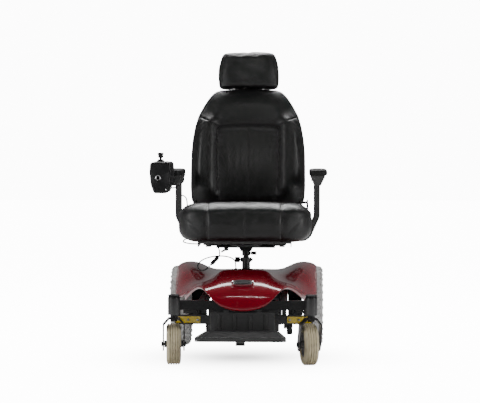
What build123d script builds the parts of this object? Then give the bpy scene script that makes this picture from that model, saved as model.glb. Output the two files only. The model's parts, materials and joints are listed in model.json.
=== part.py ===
"""Rear-drive power wheelchair with a captain-style seat: every piece in a node of its own.

Millimetres. The chair is drawn about its mid-plane with the mast axis at X = 0, Y = 0, the floor at Z = 0
and its front towards -Y, and is moved at the end so that the origin is at the bottom centre of its box.
"""
from build123d import *
import os
from math import cos, hypot, radians, sin, tan

SIDES = {"right": -1, "left": 1}      # the sitter's right is -X

# Fits between pieces
SEAT_GAP = 0.3                        # between faces that only rest near each other
RUN_FIT = 0.05                        # radial, shaft in a bearing
PRESS_GAP = 0.2                       # tyre on rim, sleeve on tube

# Wheels
WHEELBASE = 560
AXLE_Y = 165                          # drive axle behind the mast axis
DRIVE_R = 159
DRIVE_W = 74
DRIVE_X = 261
DRIVE_RIM_R = 92
DRIVE_AXLE_R = 8.5
CASTER_R = 76
CASTER_W = 52
CASTER_RIM_R = 46
CASTER_X = 248
CASTER_TRAIL = 45
CASTER_TURN = {"right": 5.4, "left": 10}   # how far each caster stands turned at rest, degrees
CASTER_AXLE_R = 5
SWIVEL_Y = AXLE_Y - WHEELBASE - CASTER_TRAIL
STEM_R = 8
FORK_WALL = 5
FORK_GAP = 70                         # between the legs of a caster fork
FORK_TOP = 177
BARREL_R = 22
BARREL_Z = (188, 257)
TIP_R = 35                            # anti-tip wheel
TIP_W = 24
TIP_Y = 436
TIP_Z = 45
TIP_AXLE_R = 5

# Base frame and what it carries
BATTERY = (131, 196, 160)
BATTERY_Y = 40                        # front face of the batteries
TRAY_WALL = 4
TRAY_Z = 101                          # underside of the batteries
RAIL_W = 25
RAIL_H = 33
RAIL_Z = 206                          # underside of the rails and of the front cross tube
RAIL_REAR = 300
CROSS_D = 24                          # depth of the front cross tube
MEMBER_HALF = 20                      # half depth of the cross member round the mast
MOTOR_R = 29
MOTOR_X = 191
GEARBOX_OUT = 218
GEARBOX_HALF_Y = 40
MODULE = (150, 130, 34)

# Reflector bar and footplate
BAR_Y = -306
BAR_T = 12
BAR_HALF = 255
BAR_Z = (138, 172)
STRIP = (90, 24)
STRIP_X = 205
SPOT_X = 92
SPOT_R = 6
HINGE_Y = SWIVEL_Y - 32               # footplate hinge axis
HINGE_Z = 125
PIN_R = 4
PLATE_FRONT = HINGE_Y - 222
PLATE_TOP = 135
PLATE_T = 5
PLATE_LIP = 14
PLATE_HALF_FRONT = 162
PLATE_HALF_REAR = 131

# Shroud
SHROUD_T = 4
NOSE_Y = -452
NOSE_LOW = 197
HOOD_TOP = 335
HOOD_HALF = 88
FENDER_OUT = 276
FENDER_TOP = 337
FENDER_LOW = 196
SHROUD_REAR = 330
WELL_R = 173
WELL_IN = 216
ARCH_X = 168
ARCH_R = 66
BADGE = (82, 17, 3)
BADGE_Z = 300

# Mast and swivel
POST_R = 16
MAST_R = 11.5
POST_TOP = 345
COLLAR_R = 21
COLLAR_Z = (345.3, 362)
SLEEVE_Z = (370, 404)
MAST_PLATE = (224, 150, 6)
GUSSET = (28, 20, 17)                  # half widths at the top and the foot, height
SPINDLE_R = 9
TURN_R = 90
TURN_T = 5.7
SLIDE_RAIL_X = 140
SLIDE_RAIL = (20, 240, 5)

# Seat, all heights above the floor
PAN_HALF = 176
PAN_FRONT = -200
PAN_REAR = 192.5
PAN_LOW = 421.6
PAN_PLATE_Z = (428, 437)
CUSHION_HALF = 260
CUSHION_FOOT = 232
CUSHION_Y = (-240, 185)
CUSHION_Z = (437.3, 574)
CUSHION_TILT = 3
TUBE = 25                             # square tube of the arm posts
SOCKET_FIT = 0.3
SOCKET_WALL = 2.7
SOCKET_Z = 424
SOCKET_IN = 40
SOCKET_OUT = 182
REAR_BAR = (12, 24)
EAR_X = 214                           # inner face of the seat's hinge plates
EAR_T = 5
EAR_R = 12
PIVOT_Y = 232                         # back hinge axis
PIVOT_Z = 565
RECLINE = 12
BACK_FRONT = -42                      # from the hinge axis, square to the back
BACK_THICK = 100
BACK_FOOT = 14
BACK_TOP = 470
BACK_HALF = (233, 236, 226, 200, 131)  # half widths from the foot to the top
BACK_SHELL_T = 8
HEAD_GAP = 1
HEAD_H = 146
HEAD_THICK = 78
HEAD_HALF = (123, 97)                 # half widths at the foot and at the top
HEADPOST_R = 5
HEADPOST_X = 60
HEADPOST_DEPTH = 190
HEADPOST_UP = 90

# Arms
ARM_X = 275
POST_Y = 208
ARM_PIVOT_Z = 660
ARM_PIN_R = 5
ARM_BEAM_Z = (642, 680)
ARM_FRONT = -75
PAD_HALF = 35
PAD_T = 22.7
PAD_Y = (-80, 200)
CHEEK_T = 3

# Controller
CTRL_X = -312
CTRL_Y = (-245, -90)
CTRL_Z = (618, 735)
CTRL_HALF = 41.5
CTRL_ROD_X = -281
CTRL_ROD_Z = 662
CTRL_ROD_R = 7
STICK = (-314, -200)
STICK_PIVOT = 726
WELL_STICK_R = 14
KNOB_R = 11
KNOB_TOP = 770
BOOT_BORE = 10.6
SOCKET_AT = (-321, 677)
CHARGER_R = 7.5
CHARGER_DEPTH = 14
BUTTON_R = 6
BUTTON_AT = {"power_button": (-330, -125), "horn_button": (-296, -125)}
LEAD_R = 2.6

# Values that follow from the ones above
TRAY_HALF = BATTERY[0] + 0.5 + TRAY_WALL
RAIL_IN = TRAY_HALF + SEAT_GAP
RAIL_X = RAIL_IN + RAIL_W / 2
RAIL_OUT = RAIL_IN + RAIL_W
RAIL_TOP = RAIL_Z + RAIL_H
CROSS_REAR = SWIVEL_Y + 8 + CROSS_D / 2
BATTERY_TOP = TRAY_Z + BATTERY[2]
MAST_TOP = SLEEVE_Z[1] + MAST_PLATE[2]
TURN_Z = MAST_TOP + SEAT_GAP
CHEEK_IN = TUBE / 2 + SEAT_GAP
SOCKET_HALF = TUBE / 2 + SOCKET_FIT + SOCKET_WALL
BAR_FRONT = POST_Y + SOCKET_HALF

nodes = {}


def block(x, y, z):
    """A box from a low and a high value along each axis."""
    centre = Pos((x[0] + x[1]) / 2, (y[0] + y[1]) / 2, (z[0] + z[1]) / 2)
    return centre * Box(x[1] - x[0], y[1] - y[0], z[1] - z[0])


def side_block(side, x, y, z):
    """A box on one side of the mid-plane, from |X| values."""
    low, high = sorted((side * x[0], side * x[1]))
    return block((low, high), y, z)


def rod(start, end, radius):
    """A round bar between two points."""
    axis = Vector(*end) - Vector(*start)
    return extrude(Plane(origin=start, z_dir=axis) * Circle(radius), axis.length)


def tube(start, end, radius, bore):
    return rod(start, end, radius) - rod(start, end, bore)


def disc(radius, width, round_by=0):
    """A solid wheel about the X axis at the origin, with rounded shoulders."""
    wheel = Rot(0, 90, 0) * Cylinder(radius, width)
    if round_by:
        wheel = fillet(wheel.edges().filter_by(GeomType.CIRCLE), round_by)
    return wheel


def ring(radius, width, bore, round_by=0):
    return disc(radius, width, round_by) - disc(bore, width + 2)


def prism(points, plane, amount):
    """A closed polygon pushed out to both sides of its plane."""
    return extrude(plane * make_face(Polyline(*points, close=True)), amount / 2, both=True)


def back_point(across, rear, up):
    """A point given in the back's own leaning frame, whose origin is the hinge axis."""
    lean = radians(RECLINE)
    return (across, PIVOT_Y + rear * cos(lean) + up * sin(lean), PIVOT_Z + up * cos(lean) - rear * sin(lean))


def leaned(shape):
    """Moves a shape from the back's own frame into the chair's."""
    return Pos(0, PIVOT_Y, PIVOT_Z) * Rot(-RECLINE, 0, 0) * shape


# ---------------------------------------------------------------- base frame
def make_front_frame():
    cross_y = SWIVEL_Y + 8
    frame = block((-CASTER_X, CASTER_X), (cross_y - CROSS_D / 2, CROSS_REAR), (RAIL_Z, RAIL_TOP))
    for side in SIDES.values():
        barrel = rod((side * CASTER_X, SWIVEL_Y, BARREL_Z[0]), (side * CASTER_X, SWIVEL_Y, BARREL_Z[1]),
                     BARREL_R)
        barrel = fillet(barrel.edges().sort_by(Axis.Z)[-1], 9)
        frame += barrel
    for side in SIDES.values():
        frame -= rod((side * CASTER_X, SWIVEL_Y, BARREL_Z[0]), (side * CASTER_X, SWIVEL_Y, BARREL_Z[1] - 7),
                     16)
    rings = [frame]
    for side in SIDES.values():
        for low in (BARREL_Z[0] + 1, BARREL_Z[1] - 24):
            foot = (side * CASTER_X, SWIVEL_Y, low)
            top = (side * CASTER_X, SWIVEL_Y, low + 12)
            rings.append(tube(foot, top, 16 - PRESS_GAP, STEM_R + RUN_FIT))
    nodes["front_frame"] = Compound(children=rings)


def make_main_frame():
    z = (RAIL_Z, RAIL_TOP)
    frame = block((-RAIL_OUT, RAIL_OUT), (RAIL_REAR - RAIL_W, RAIL_REAR), z)
    frame += block((-RAIL_OUT, RAIL_OUT), (-MEMBER_HALF, MEMBER_HALF), z)
    for side in SIDES.values():
        frame += side_block(side, (RAIL_IN, RAIL_OUT), (CROSS_REAR, RAIL_REAR), z)
    frame -= rod((0, 0, RAIL_Z - 1), (0, 0, RAIL_TOP + 1), POST_R + PRESS_GAP)
    nodes["main_frame"] = frame


def make_batteries():
    y = (BATTERY_Y, BATTERY_Y + BATTERY[1])
    tray_z = (TRAY_Z - SEAT_GAP - TRAY_WALL, TRAY_Z - SEAT_GAP)
    tray_y = (y[0] - 8, y[1] + 8)
    tray = block((-TRAY_HALF, TRAY_HALF), tray_y, tray_z)
    cells = []
    for side in SIDES.values():
        tray += side_block(side, (TRAY_HALF - TRAY_WALL, TRAY_HALF), tray_y, (tray_z[0], RAIL_TOP - 5))
        cell = side_block(side, (0.3, BATTERY[0]), y, (TRAY_Z, BATTERY_TOP))
        cells.append(fillet(cell.edges().filter_by(Axis.Z), 4))
    nodes["main_frame"] = Compound(children=[nodes["main_frame"], tray])
    nodes["batteries"] = Compound(children=cells)
    module_y = BATTERY_Y + (BATTERY[1] - MODULE[1]) / 2
    low = BATTERY_TOP + SEAT_GAP
    module = block((-MODULE[0] / 2, MODULE[0] / 2), (module_y, module_y + MODULE[1]), (low, low + MODULE[2]))
    nodes["power_module"] = fillet(module.edges().filter_by(Axis.Z), 6)


def make_motor(name, side):
    z = (DRIVE_R - 49, RAIL_TOP - 7)
    y = (AXLE_Y - GEARBOX_HALF_Y, AXLE_Y + GEARBOX_HALF_Y)
    gearbox = side_block(side, (RAIL_OUT + SEAT_GAP, GEARBOX_OUT), y, z)
    gearbox = fillet(gearbox.edges().filter_by(Axis.X), 12)
    motor = rod((side * MOTOR_X, y[0] - 190, DRIVE_R), (side * MOTOR_X, y[0] + 5, DRIVE_R), MOTOR_R)
    body = gearbox + motor
    body -= rod((side * 188, AXLE_Y, DRIVE_R), (side * (GEARBOX_OUT + 1), AXLE_Y, DRIVE_R),
                DRIVE_AXLE_R + RUN_FIT)
    stud = (side * MOTOR_X, y[0] - 190, DRIVE_R)
    body += rod(stud, (stud[0], stud[1] - 12, stud[2]), 5)
    nodes["drive_motor_" + name] = body
    hub = (stud[0], stud[1] - SEAT_GAP, stud[2])
    lever = rod(hub, (hub[0], hub[1] - 7, hub[2]), 13)
    lever += side_block(side, (MOTOR_X, MOTOR_X + 48), (hub[1] - 7, hub[1]), (DRIVE_R - 6, DRIVE_R + 6))
    lever -= rod((hub[0], hub[1] + 1, hub[2]), (hub[0], hub[1] - 9, hub[2]), 5 + RUN_FIT)
    nodes["freewheel_lever_" + name] = lever


def make_drive_wheel(name, side):
    place = Pos(side * DRIVE_X, AXLE_Y, DRIVE_R)
    rim = ring(DRIVE_RIM_R, DRIVE_W - 14, 0.5, 3) + disc(5, DRIVE_W - 14)
    rim -= Pos(side * 24, 0, 0) * ring(DRIVE_RIM_R - 12, 30, 30)
    rim = place * rim
    rim += rod((side * 190, AXLE_Y, DRIVE_R), (side * (DRIVE_X + 38), AXLE_Y, DRIVE_R), DRIVE_AXLE_R)
    nodes["drive_rim_" + name] = rim
    nodes["drive_tyre_" + name] = place * ring(DRIVE_R, DRIVE_W, DRIVE_RIM_R + PRESS_GAP, 20)


def make_anti_tip():
    arms = []
    for name, side in SIDES.items():
        beam = side_block(side, (RAIL_X - 6, RAIL_X + 6), (RAIL_REAR, 408), (RAIL_Z + 4, RAIL_TOP - 7))
        leg = prism([(392, RAIL_TOP - 7), (408, RAIL_TOP - 7), (TIP_Y + 12, TIP_Z - 10),
                     (TIP_Y - 12, TIP_Z - 10)],
                    Plane.YZ, 12)
        arm = beam + Pos(side * RAIL_X, 0, 0) * leg
        inner = side * (RAIL_X + 5)
        arm += rod((inner, TIP_Y, TIP_Z), (side * (RAIL_X + 8 + TIP_W), TIP_Y, TIP_Z), TIP_AXLE_R)
        arm -= rod((side * (RAIL_X - 9), 360, RAIL_Z + 15), (side * (RAIL_X + 9), 360, RAIL_Z + 15), 7)
        arms.append(arm)
        wheel = ring(TIP_R, TIP_W, TIP_AXLE_R + RUN_FIT, 5)
        place = Pos(side * (RAIL_X + 6 + SEAT_GAP + TIP_W / 2), TIP_Y, TIP_Z)
        nodes["anti_tip_wheel_" + name] = place * wheel
    nodes["anti_tip_arms"] = Compound(children=arms)


# ---------------------------------------------------------------- casters
def make_caster(name, side):
    place = Pos(side * CASTER_X, SWIVEL_Y, 0) * Rot(0, 0, CASTER_TURN[name])
    half = FORK_GAP / 2
    crown = FORK_TOP - FORK_WALL
    inner = [(-half, 0), (-half, 150), (-17, crown), (17, crown), (half, 150), (half, 0)]
    outer = [(-half - FORK_WALL, 0), (-half - FORK_WALL, 152), (-19, FORK_TOP), (19, FORK_TOP),
             (half + FORK_WALL, 152), (half + FORK_WALL, 0)]
    strip = prism(outer, Plane.XZ, 200) - prism(inner, Plane.XZ, 202)
    side_shape = prism([(-22, FORK_TOP), (26, FORK_TOP), (CASTER_TRAIL + 22, CASTER_R + 8),
                        (CASTER_TRAIL - 22, CASTER_R - 8)], Plane.YZ, 120)
    side_shape += Pos(0, CASTER_TRAIL, CASTER_R) * disc(25, 120)
    fork = strip & side_shape
    fork += rod((0, 0, crown - 8), (0, 0, crown), 12)
    fork += rod((0, 0, FORK_TOP), (0, 0, BARREL_Z[0] - SEAT_GAP), 13.5)
    fork += rod((0, 0, BARREL_Z[0] - 2), (0, 0, BARREL_Z[1] - 12), STEM_R)
    reach = half + FORK_WALL
    fork -= rod((-reach - 1, CASTER_TRAIL, CASTER_R), (reach + 1, CASTER_TRAIL, CASTER_R),
                CASTER_AXLE_R + 0.1)
    bolt = rod((-reach - 5, CASTER_TRAIL, CASTER_R), (reach + 5, CASTER_TRAIL, CASTER_R), CASTER_AXLE_R)
    for end in (-1, 1):
        bolt += Pos(end * (reach + SEAT_GAP + 2.5), CASTER_TRAIL, CASTER_R) * disc(9, 5, 1)
    nodes["caster_fork_" + name] = place * Compound(children=[fork, bolt])
    wheel_place = place * Pos(0, CASTER_TRAIL, CASTER_R)
    rim = disc(CASTER_RIM_R, CASTER_W - 8, 2) + disc(13, FORK_GAP - 2 * SEAT_GAP)
    nodes["caster_rim_" + name] = wheel_place * (rim - disc(CASTER_AXLE_R + RUN_FIT, FORK_GAP + 2))
    tyre = ring(CASTER_R, CASTER_W, CASTER_RIM_R + PRESS_GAP, 11)
    for groove in (-12, -4, 4, 12):
        tyre -= Pos(groove, 0, 0) * ring(CASTER_R + 1, 2.4, CASTER_R - 2.5)
    nodes["caster_tyre_" + name] = wheel_place * tyre


# ---------------------------------------------------------------- front bar and footplate
def make_reflector_bar():
    bar = block((-BAR_HALF, BAR_HALF), (BAR_Y, BAR_Y + BAR_T), BAR_Z)
    bar = fillet(bar.edges().filter_by(Axis.Y), 5)
    for side in SIDES.values():
        bar += side_block(side, (RAIL_X - 8, RAIL_X + 8), (BAR_Y + BAR_T - 1, BAR_Y + BAR_T + 6),
                          (BAR_Z[0], RAIL_Z))
    nodes["reflector_bar"] = bar
    pieces = []
    middle = (BAR_Z[0] + BAR_Z[1]) / 2
    for side in SIDES.values():
        pieces.append(side_block(side, (STRIP_X - STRIP[0] / 2, STRIP_X + STRIP[0] / 2),
                                 (BAR_Y - 3, BAR_Y), (middle - STRIP[1] / 2, middle + STRIP[1] / 2)))
        spot = (side * SPOT_X, BAR_Y, middle)
        pieces.append(rod(spot, (spot[0], spot[1] - 3, spot[2]), SPOT_R))
    nodes["reflectors"] = Compound(children=pieces)


def make_footplate():
    low = HINGE_Z - 9
    bracket = block((-100, 100), (HINGE_Y + 12, -426), (low, low + 16))
    for side in SIDES.values():
        bracket += side_block(side, (52, 68), (-438, -426), (low, RAIL_Z))
        knuckle = rod((side * 60.3, HINGE_Y, HINGE_Z), (side * 84, HINGE_Y, HINGE_Z), 9)
        bracket += knuckle + side_block(side, (60.3, 84), (HINGE_Y, HINGE_Y + 14), (low, HINGE_Z + 5))
    bracket -= rod((-101, HINGE_Y, HINGE_Z), (101, HINGE_Y, HINGE_Z), PIN_R + 0.1)
    pin = rod((-86, HINGE_Y, HINGE_Z), (86, HINGE_Y, HINGE_Z), PIN_R)
    for side in SIDES.values():
        pin += side_block(side, (84 + SEAT_GAP, 88), (HINGE_Y - 6, HINGE_Y + 6), (HINGE_Z - 6, HINGE_Z + 6))
    nodes["footplate_bracket"] = Compound(children=[bracket, pin])

    rear = HINGE_Y - 11
    outline = Polyline((-PLATE_HALF_REAR, rear), (PLATE_HALF_REAR, rear), (PLATE_HALF_FRONT, PLATE_FRONT),
                       (-PLATE_HALF_FRONT, PLATE_FRONT), close=True)
    face = make_face(outline)
    plate = extrude(Plane.XY.offset(PLATE_TOP - PLATE_T) * face, PLATE_T)
    plate = fillet(plate.edges().filter_by(Axis.Z), 18)
    rim = extrude(Plane.XY.offset(PLATE_TOP - PLATE_LIP) * face, PLATE_LIP)
    rim = fillet(rim.edges().filter_by(Axis.Z), 18)
    core = extrude(Plane.XY.offset(PLATE_TOP - PLATE_LIP - 1) * offset(face, amount=-7,
                                                                       kind=Kind.INTERSECTION),
                   PLATE_LIP + 2)
    plate += rim - core
    plate += block((-16, 16), (PLATE_FRONT - 4, PLATE_FRONT + 20),
                   (PLATE_TOP - PLATE_LIP - 12, PLATE_TOP - PLATE_LIP + 2))
    for side in SIDES.values():
        plate += rod((side * 22, HINGE_Y, HINGE_Z), (side * 60, HINGE_Y, HINGE_Z), 9)
        plate += side_block(side, (22, 60), (rear - 4, HINGE_Y), (HINGE_Z - 3, HINGE_Z + 9))
    plate -= rod((-70, HINGE_Y, HINGE_Z), (70, HINGE_Y, HINGE_Z), PIN_R + RUN_FIT)
    nodes["footplate"] = plate


# ---------------------------------------------------------------- shroud
def hood_solid(inset):
    """The nose and hood as a block, every face moved in by inset except the open underside."""
    low = NOSE_LOW - (50 if inset else 0)
    side = [(NOSE_Y, low), (NOSE_Y, 262), (-440, 280), (-400, 318), (-330, 331), (-248, HOOD_TOP),
            (60, HOOD_TOP), (60, low)]
    plan = [(-100, NOSE_Y), (100, NOSE_Y), (138, -420), (160, -340), (182, -200), (182, 60), (-182, 60),
            (-182, -200), (-160, -340), (-138, -420)]
    front = [(-HOOD_HALF, HOOD_TOP), (HOOD_HALF, HOOD_TOP), (118, 318), (150, 305), (190, 296), (200, low),
             (-200, low), (-190, 296), (-150, 305), (-118, 318)]
    shapes = []
    for points, plane in ((side, Plane.YZ), (plan, Plane.XY), (front, Plane.XZ)):
        face = make_face(Polyline(*points, close=True))
        if inset:
            face = offset(face, amount=-inset, kind=Kind.INTERSECTION)
        shapes.append(extrude(plane * face, 900, both=True))
    return shapes[0] & shapes[1] & shapes[2]


def fender_solid(inset):
    """The rear body over the drive wheels as a block."""
    low = FENDER_LOW - (50 if inset else 0)
    side = [(-118, low), (-112, 225), (-80, 275), (-20, 308), (70, 329), (AXLE_Y, FENDER_TOP), (250, 333),
            (310, 312), (SHROUD_REAR, 270), (SHROUD_REAR, low)]
    plan = [(-226, -118), (226, -118), (FENDER_OUT, -20), (FENDER_OUT, 290), (240, SHROUD_REAR),
            (-240, SHROUD_REAR), (-FENDER_OUT, 290), (-FENDER_OUT, -20)]
    shapes = []
    for points, plane in ((side, Plane.YZ), (plan, Plane.XY)):
        face = make_face(Polyline(*points, close=True))
        if inset:
            face = offset(face, amount=-inset, kind=Kind.INTERSECTION)
        shapes.append(extrude(plane * face, 900, both=True))
    return shapes[0] & shapes[1]


def make_shroud():
    outer = hood_solid(0) + fender_solid(0)
    shell = outer - hood_solid(SHROUD_T) - fender_solid(SHROUD_T)
    for side in SIDES.values():
        shell -= rod((side * ARCH_X, NOSE_Y - 5, 215), (side * ARCH_X, -125, 215), ARCH_R)
        shell -= side_block(side, (ARCH_X - ARCH_R, 260), (NOSE_Y - 5, -125), (150, 215))
        shell -= rod((side * WELL_IN, AXLE_Y, DRIVE_R), (side * 320, AXLE_Y, DRIVE_R), WELL_R)
    shell -= rod((0, 0, 300), (0, 0, 340), POST_R + SEAT_GAP)
    shell -= rod((*LEAD_ENTRY, 300), (*LEAD_ENTRY, 345), LEAD_R + 0.9)
    for side in SIDES.values():
        shell -= side_block(side, (RAIL_IN - 3, RAIL_OUT + 3), (CROSS_REAR - 40, 0), (150, RAIL_TOP + 3))
        shell -= side_block(side, (96, 260), (CROSS_REAR - CROSS_D - 3, CROSS_REAR + 3), (150, RAIL_TOP + 3))
    shell -= block((-RAIL_OUT - 6, RAIL_OUT + 6), (SHROUD_REAR - 20, SHROUD_REAR + 5), (150, RAIL_TOP + 8))
    nodes["shroud"] = max(shell.solids(), key=lambda solid: solid.volume)
    tilt = 43.5
    face = Plane(origin=(0, -419.1, BADGE_Z), x_dir=(1, 0, 0),
                 z_dir=(0, -sin(radians(tilt)), cos(radians(tilt))))
    badge = extrude(face * Ellipse(BADGE[0] / 2, BADGE[1] / 2), BADGE[2])
    nodes["badge"] = badge - hood_solid(0)


# ---------------------------------------------------------------- mast and swivel
def make_mast():
    post = tube((0, 0, 120), (0, 0, POST_TOP), POST_R, MAST_R + 0.2)
    post += tube((0, 0, RAIL_Z - 8), (0, 0, RAIL_Z - SEAT_GAP), 34, POST_R - 1)
    collar = tube((0, 0, COLLAR_Z[0]), (0, 0, COLLAR_Z[1]), COLLAR_R, MAST_R + 0.2)
    middle = (COLLAR_Z[0] + COLLAR_Z[1]) / 2
    collar += rod((-COLLAR_R + 1.5, 0, middle), (-COLLAR_R - 6, 0, middle), 4)
    collar += rod((COLLAR_R - 1.5, 0, middle), (COLLAR_R + 5, 0, middle), 5)
    nodes["mast_post"] = Compound(children=[post, collar])
    knob = rod((-COLLAR_R - 2.5, 0, middle), (-COLLAR_R - 22, 0, middle), 11)
    knob = fillet(knob.edges().filter_by(GeomType.CIRCLE), 2)
    nodes["collar_knob"] = knob - rod((-COLLAR_R, 0, middle), (-COLLAR_R - 7, 0, middle), 4 + RUN_FIT)

    mast = rod((0, 0, 160), (0, 0, SLEEVE_Z[1]), MAST_R) + rod((0, 0, SLEEVE_Z[0]), (0, 0, SLEEVE_Z[1]),
                                                               POST_R)
    mast += block((-MAST_PLATE[0] / 2, MAST_PLATE[0] / 2), (-MAST_PLATE[1] / 2, MAST_PLATE[1] / 2),
                  (SLEEVE_Z[1], MAST_TOP))
    gusset = prism([(-GUSSET[0], SLEEVE_Z[1]), (GUSSET[0], SLEEVE_Z[1]), (GUSSET[1], SLEEVE_Z[1] - GUSSET[2]),
                    (-GUSSET[1], SLEEVE_Z[1] - GUSSET[2])], Plane.XZ, 34)
    mast += gusset
    lock_z = SLEEVE_Z[0] + 9
    mast += rod((POST_R - 2, 0, lock_z), (POST_R + 9, 0, lock_z), 4)
    mast -= rod((0, 0, MAST_TOP - 32), (0, 0, MAST_TOP + 1), SPINDLE_R + RUN_FIT)
    mast += rod((-75, -40, SLEEVE_Z[1] - 14), (-75, -40, SLEEVE_Z[1]), 4)
    nodes["mast_tube"] = mast
    bar = rod((POST_R + 4, 0, lock_z), (POST_R + 24, 0, lock_z), 7)
    bar += block((POST_R + 16, POST_R + 24), (-20, 20), (lock_z - 5, lock_z + 5))
    nodes["mast_lock_knob"] = bar - rod((POST_R, 0, lock_z), (POST_R + 10, 0, lock_z), 4 + RUN_FIT)
    lever = rod((-75, -40, SLEEVE_Z[1] - 12), (-75, -40, SLEEVE_Z[1] - SEAT_GAP), 9)
    lever += rod((-75, -40, SLEEVE_Z[1] - 7), (-86, -172, SLEEVE_Z[1] - 7), 4)
    nodes["swivel_lever"] = lever - rod((-75, -40, SLEEVE_Z[1] - 15), (-75, -40, SLEEVE_Z[1] + 1),
                                        4 + RUN_FIT)


def make_turntable():
    table = rod((0, 0, TURN_Z), (0, 0, TURN_Z + TURN_T), TURN_R)
    table += rod((0, 0, MAST_TOP - 30), (0, 0, TURN_Z + 1), SPINDLE_R)
    half = SLIDE_RAIL_X + SLIDE_RAIL[0] / 2
    table += block((-half, half), (-60, 60), (TURN_Z, TURN_Z + TURN_T))
    for side in SIDES.values():
        table += side_block(side, (half - SLIDE_RAIL[0], half), (-SLIDE_RAIL[1] / 2, SLIDE_RAIL[1] / 2),
                            (TURN_Z, TURN_Z + TURN_T + SLIDE_RAIL[2]))
    nodes["turntable"] = table


# ---------------------------------------------------------------- seat
def make_seat_pan():
    pan = block((-PAN_HALF, PAN_HALF), (PAN_FRONT, PAN_REAR), PAN_PLATE_Z)
    for side in SIDES.values():
        pan += side_block(side, (SLIDE_RAIL_X - 16, SLIDE_RAIL_X + 16), (PAN_FRONT + 20, PAN_REAR - 20),
                          (PAN_LOW, PAN_PLATE_Z[0]))
        pan += side_block(side, (PAN_HALF - 4, PAN_HALF), (PAN_FRONT, PAN_REAR), (416, PAN_PLATE_Z[0]))
    pan += rod((112, -130, 419), (112, -130, PAN_PLATE_Z[0]), 4)
    nodes["seat_pan"] = pan
    lever = rod((112, -130, 419), (112, -130, 427), 9) + rod((112, -130, 423), (112, -222, 423), 4)
    lever -= rod((112, -130, 410), (112, -130, 430), 4 + RUN_FIT)
    nodes["slide_lever"] = lever

    socket_z = (SOCKET_Z - SOCKET_HALF, SOCKET_Z + SOCKET_HALF)
    bore = TUBE / 2 + SOCKET_FIT
    frame = block((-EAR_X - EAR_T, EAR_X + EAR_T), (BAR_FRONT, BAR_FRONT + REAR_BAR[0]),
                  (SOCKET_Z - REAR_BAR[1] / 2, SOCKET_Z + REAR_BAR[1] / 2))
    for side in SIDES.values():
        socket = side_block(side, (SOCKET_IN, SOCKET_OUT), (PAN_REAR, BAR_FRONT), socket_z)
        frame += socket - side_block(side, (SOCKET_IN - 1, SOCKET_OUT + 1), (POST_Y - bore, POST_Y + bore),
                                     (SOCKET_Z - bore, SOCKET_Z + bore))
        plate = side_block(side, (EAR_X, EAR_X + EAR_T), (BAR_FRONT, PIVOT_Y + EAR_R),
                           (SOCKET_Z - REAR_BAR[1] / 2, PIVOT_Z))
        plate += rod((side * EAR_X, PIVOT_Y, PIVOT_Z), (side * (EAR_X + EAR_T), PIVOT_Y, PIVOT_Z), EAR_R)
        frame += plate
        frame += rod((side * (EAR_X - 12), PIVOT_Y, PIVOT_Z), (side * (EAR_X + 1), PIVOT_Y, PIVOT_Z), 5)
    frame += rod((EAR_X + EAR_T - 1, PIVOT_Y, PIVOT_Z), (EAR_X + EAR_T + 22, PIVOT_Y, PIVOT_Z), 5)
    nodes["seat_rear_frame"] = frame
    hub_x = EAR_X + EAR_T + 16
    lever = rod((hub_x, PIVOT_Y, PIVOT_Z), (hub_x + 6, PIVOT_Y, PIVOT_Z), 11)
    lever += rod((hub_x + 3, PIVOT_Y, PIVOT_Z), (hub_x + 3, PIVOT_Y + 38, PIVOT_Z - 66), 4)
    lever -= rod((hub_x - 2, PIVOT_Y, PIVOT_Z), (hub_x + 8, PIVOT_Y, PIVOT_Z), 5 + RUN_FIT)
    nodes["recline_lever"] = lever


def make_seat_cushion():
    low, high = CUSHION_Z
    section = [(-CUSHION_FOOT, low), (CUSHION_FOOT, low), (CUSHION_HALF, low + 34), (CUSHION_HALF, high + 10),
               (-CUSHION_HALF, high + 10), (-CUSHION_HALF, low + 34)]
    length = CUSHION_Y[1] - CUSHION_Y[0]
    middle = (CUSHION_Y[0] + CUSHION_Y[1]) / 2
    cushion = Pos(0, middle, 0) * prism(section, Plane.XZ, length)
    cushion = fillet(cushion.edges().filter_by(Axis.Z), 45)
    top = Pos(0, CUSHION_Y[0], high) * Rot(-CUSHION_TILT, 0, 0) * Box(700, 1100, 100, align=(
        Align.CENTER, Align.CENTER, Align.MIN))
    nodes["seat_cushion"] = cushion - top


def back_outline(inset):
    """The back seen square on, drawn up from the hinge axis."""
    foot = BACK_FOOT + inset
    top = BACK_TOP - inset
    half = Spline((BACK_HALF[0] - inset, foot), (BACK_HALF[1] - inset, 130), (BACK_HALF[2] - inset, 270),
                  (BACK_HALF[3] - inset, 372), (BACK_HALF[4], top), tangents=((0, 1), (-1, 0.25)))
    outline = half + mirror(half, Plane.YZ)
    outline += Line((inset - BACK_HALF[0], foot), (BACK_HALF[0] - inset, foot))
    outline += Line((-BACK_HALF[4], top), (BACK_HALF[4], top))
    return make_face(outline)


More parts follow.
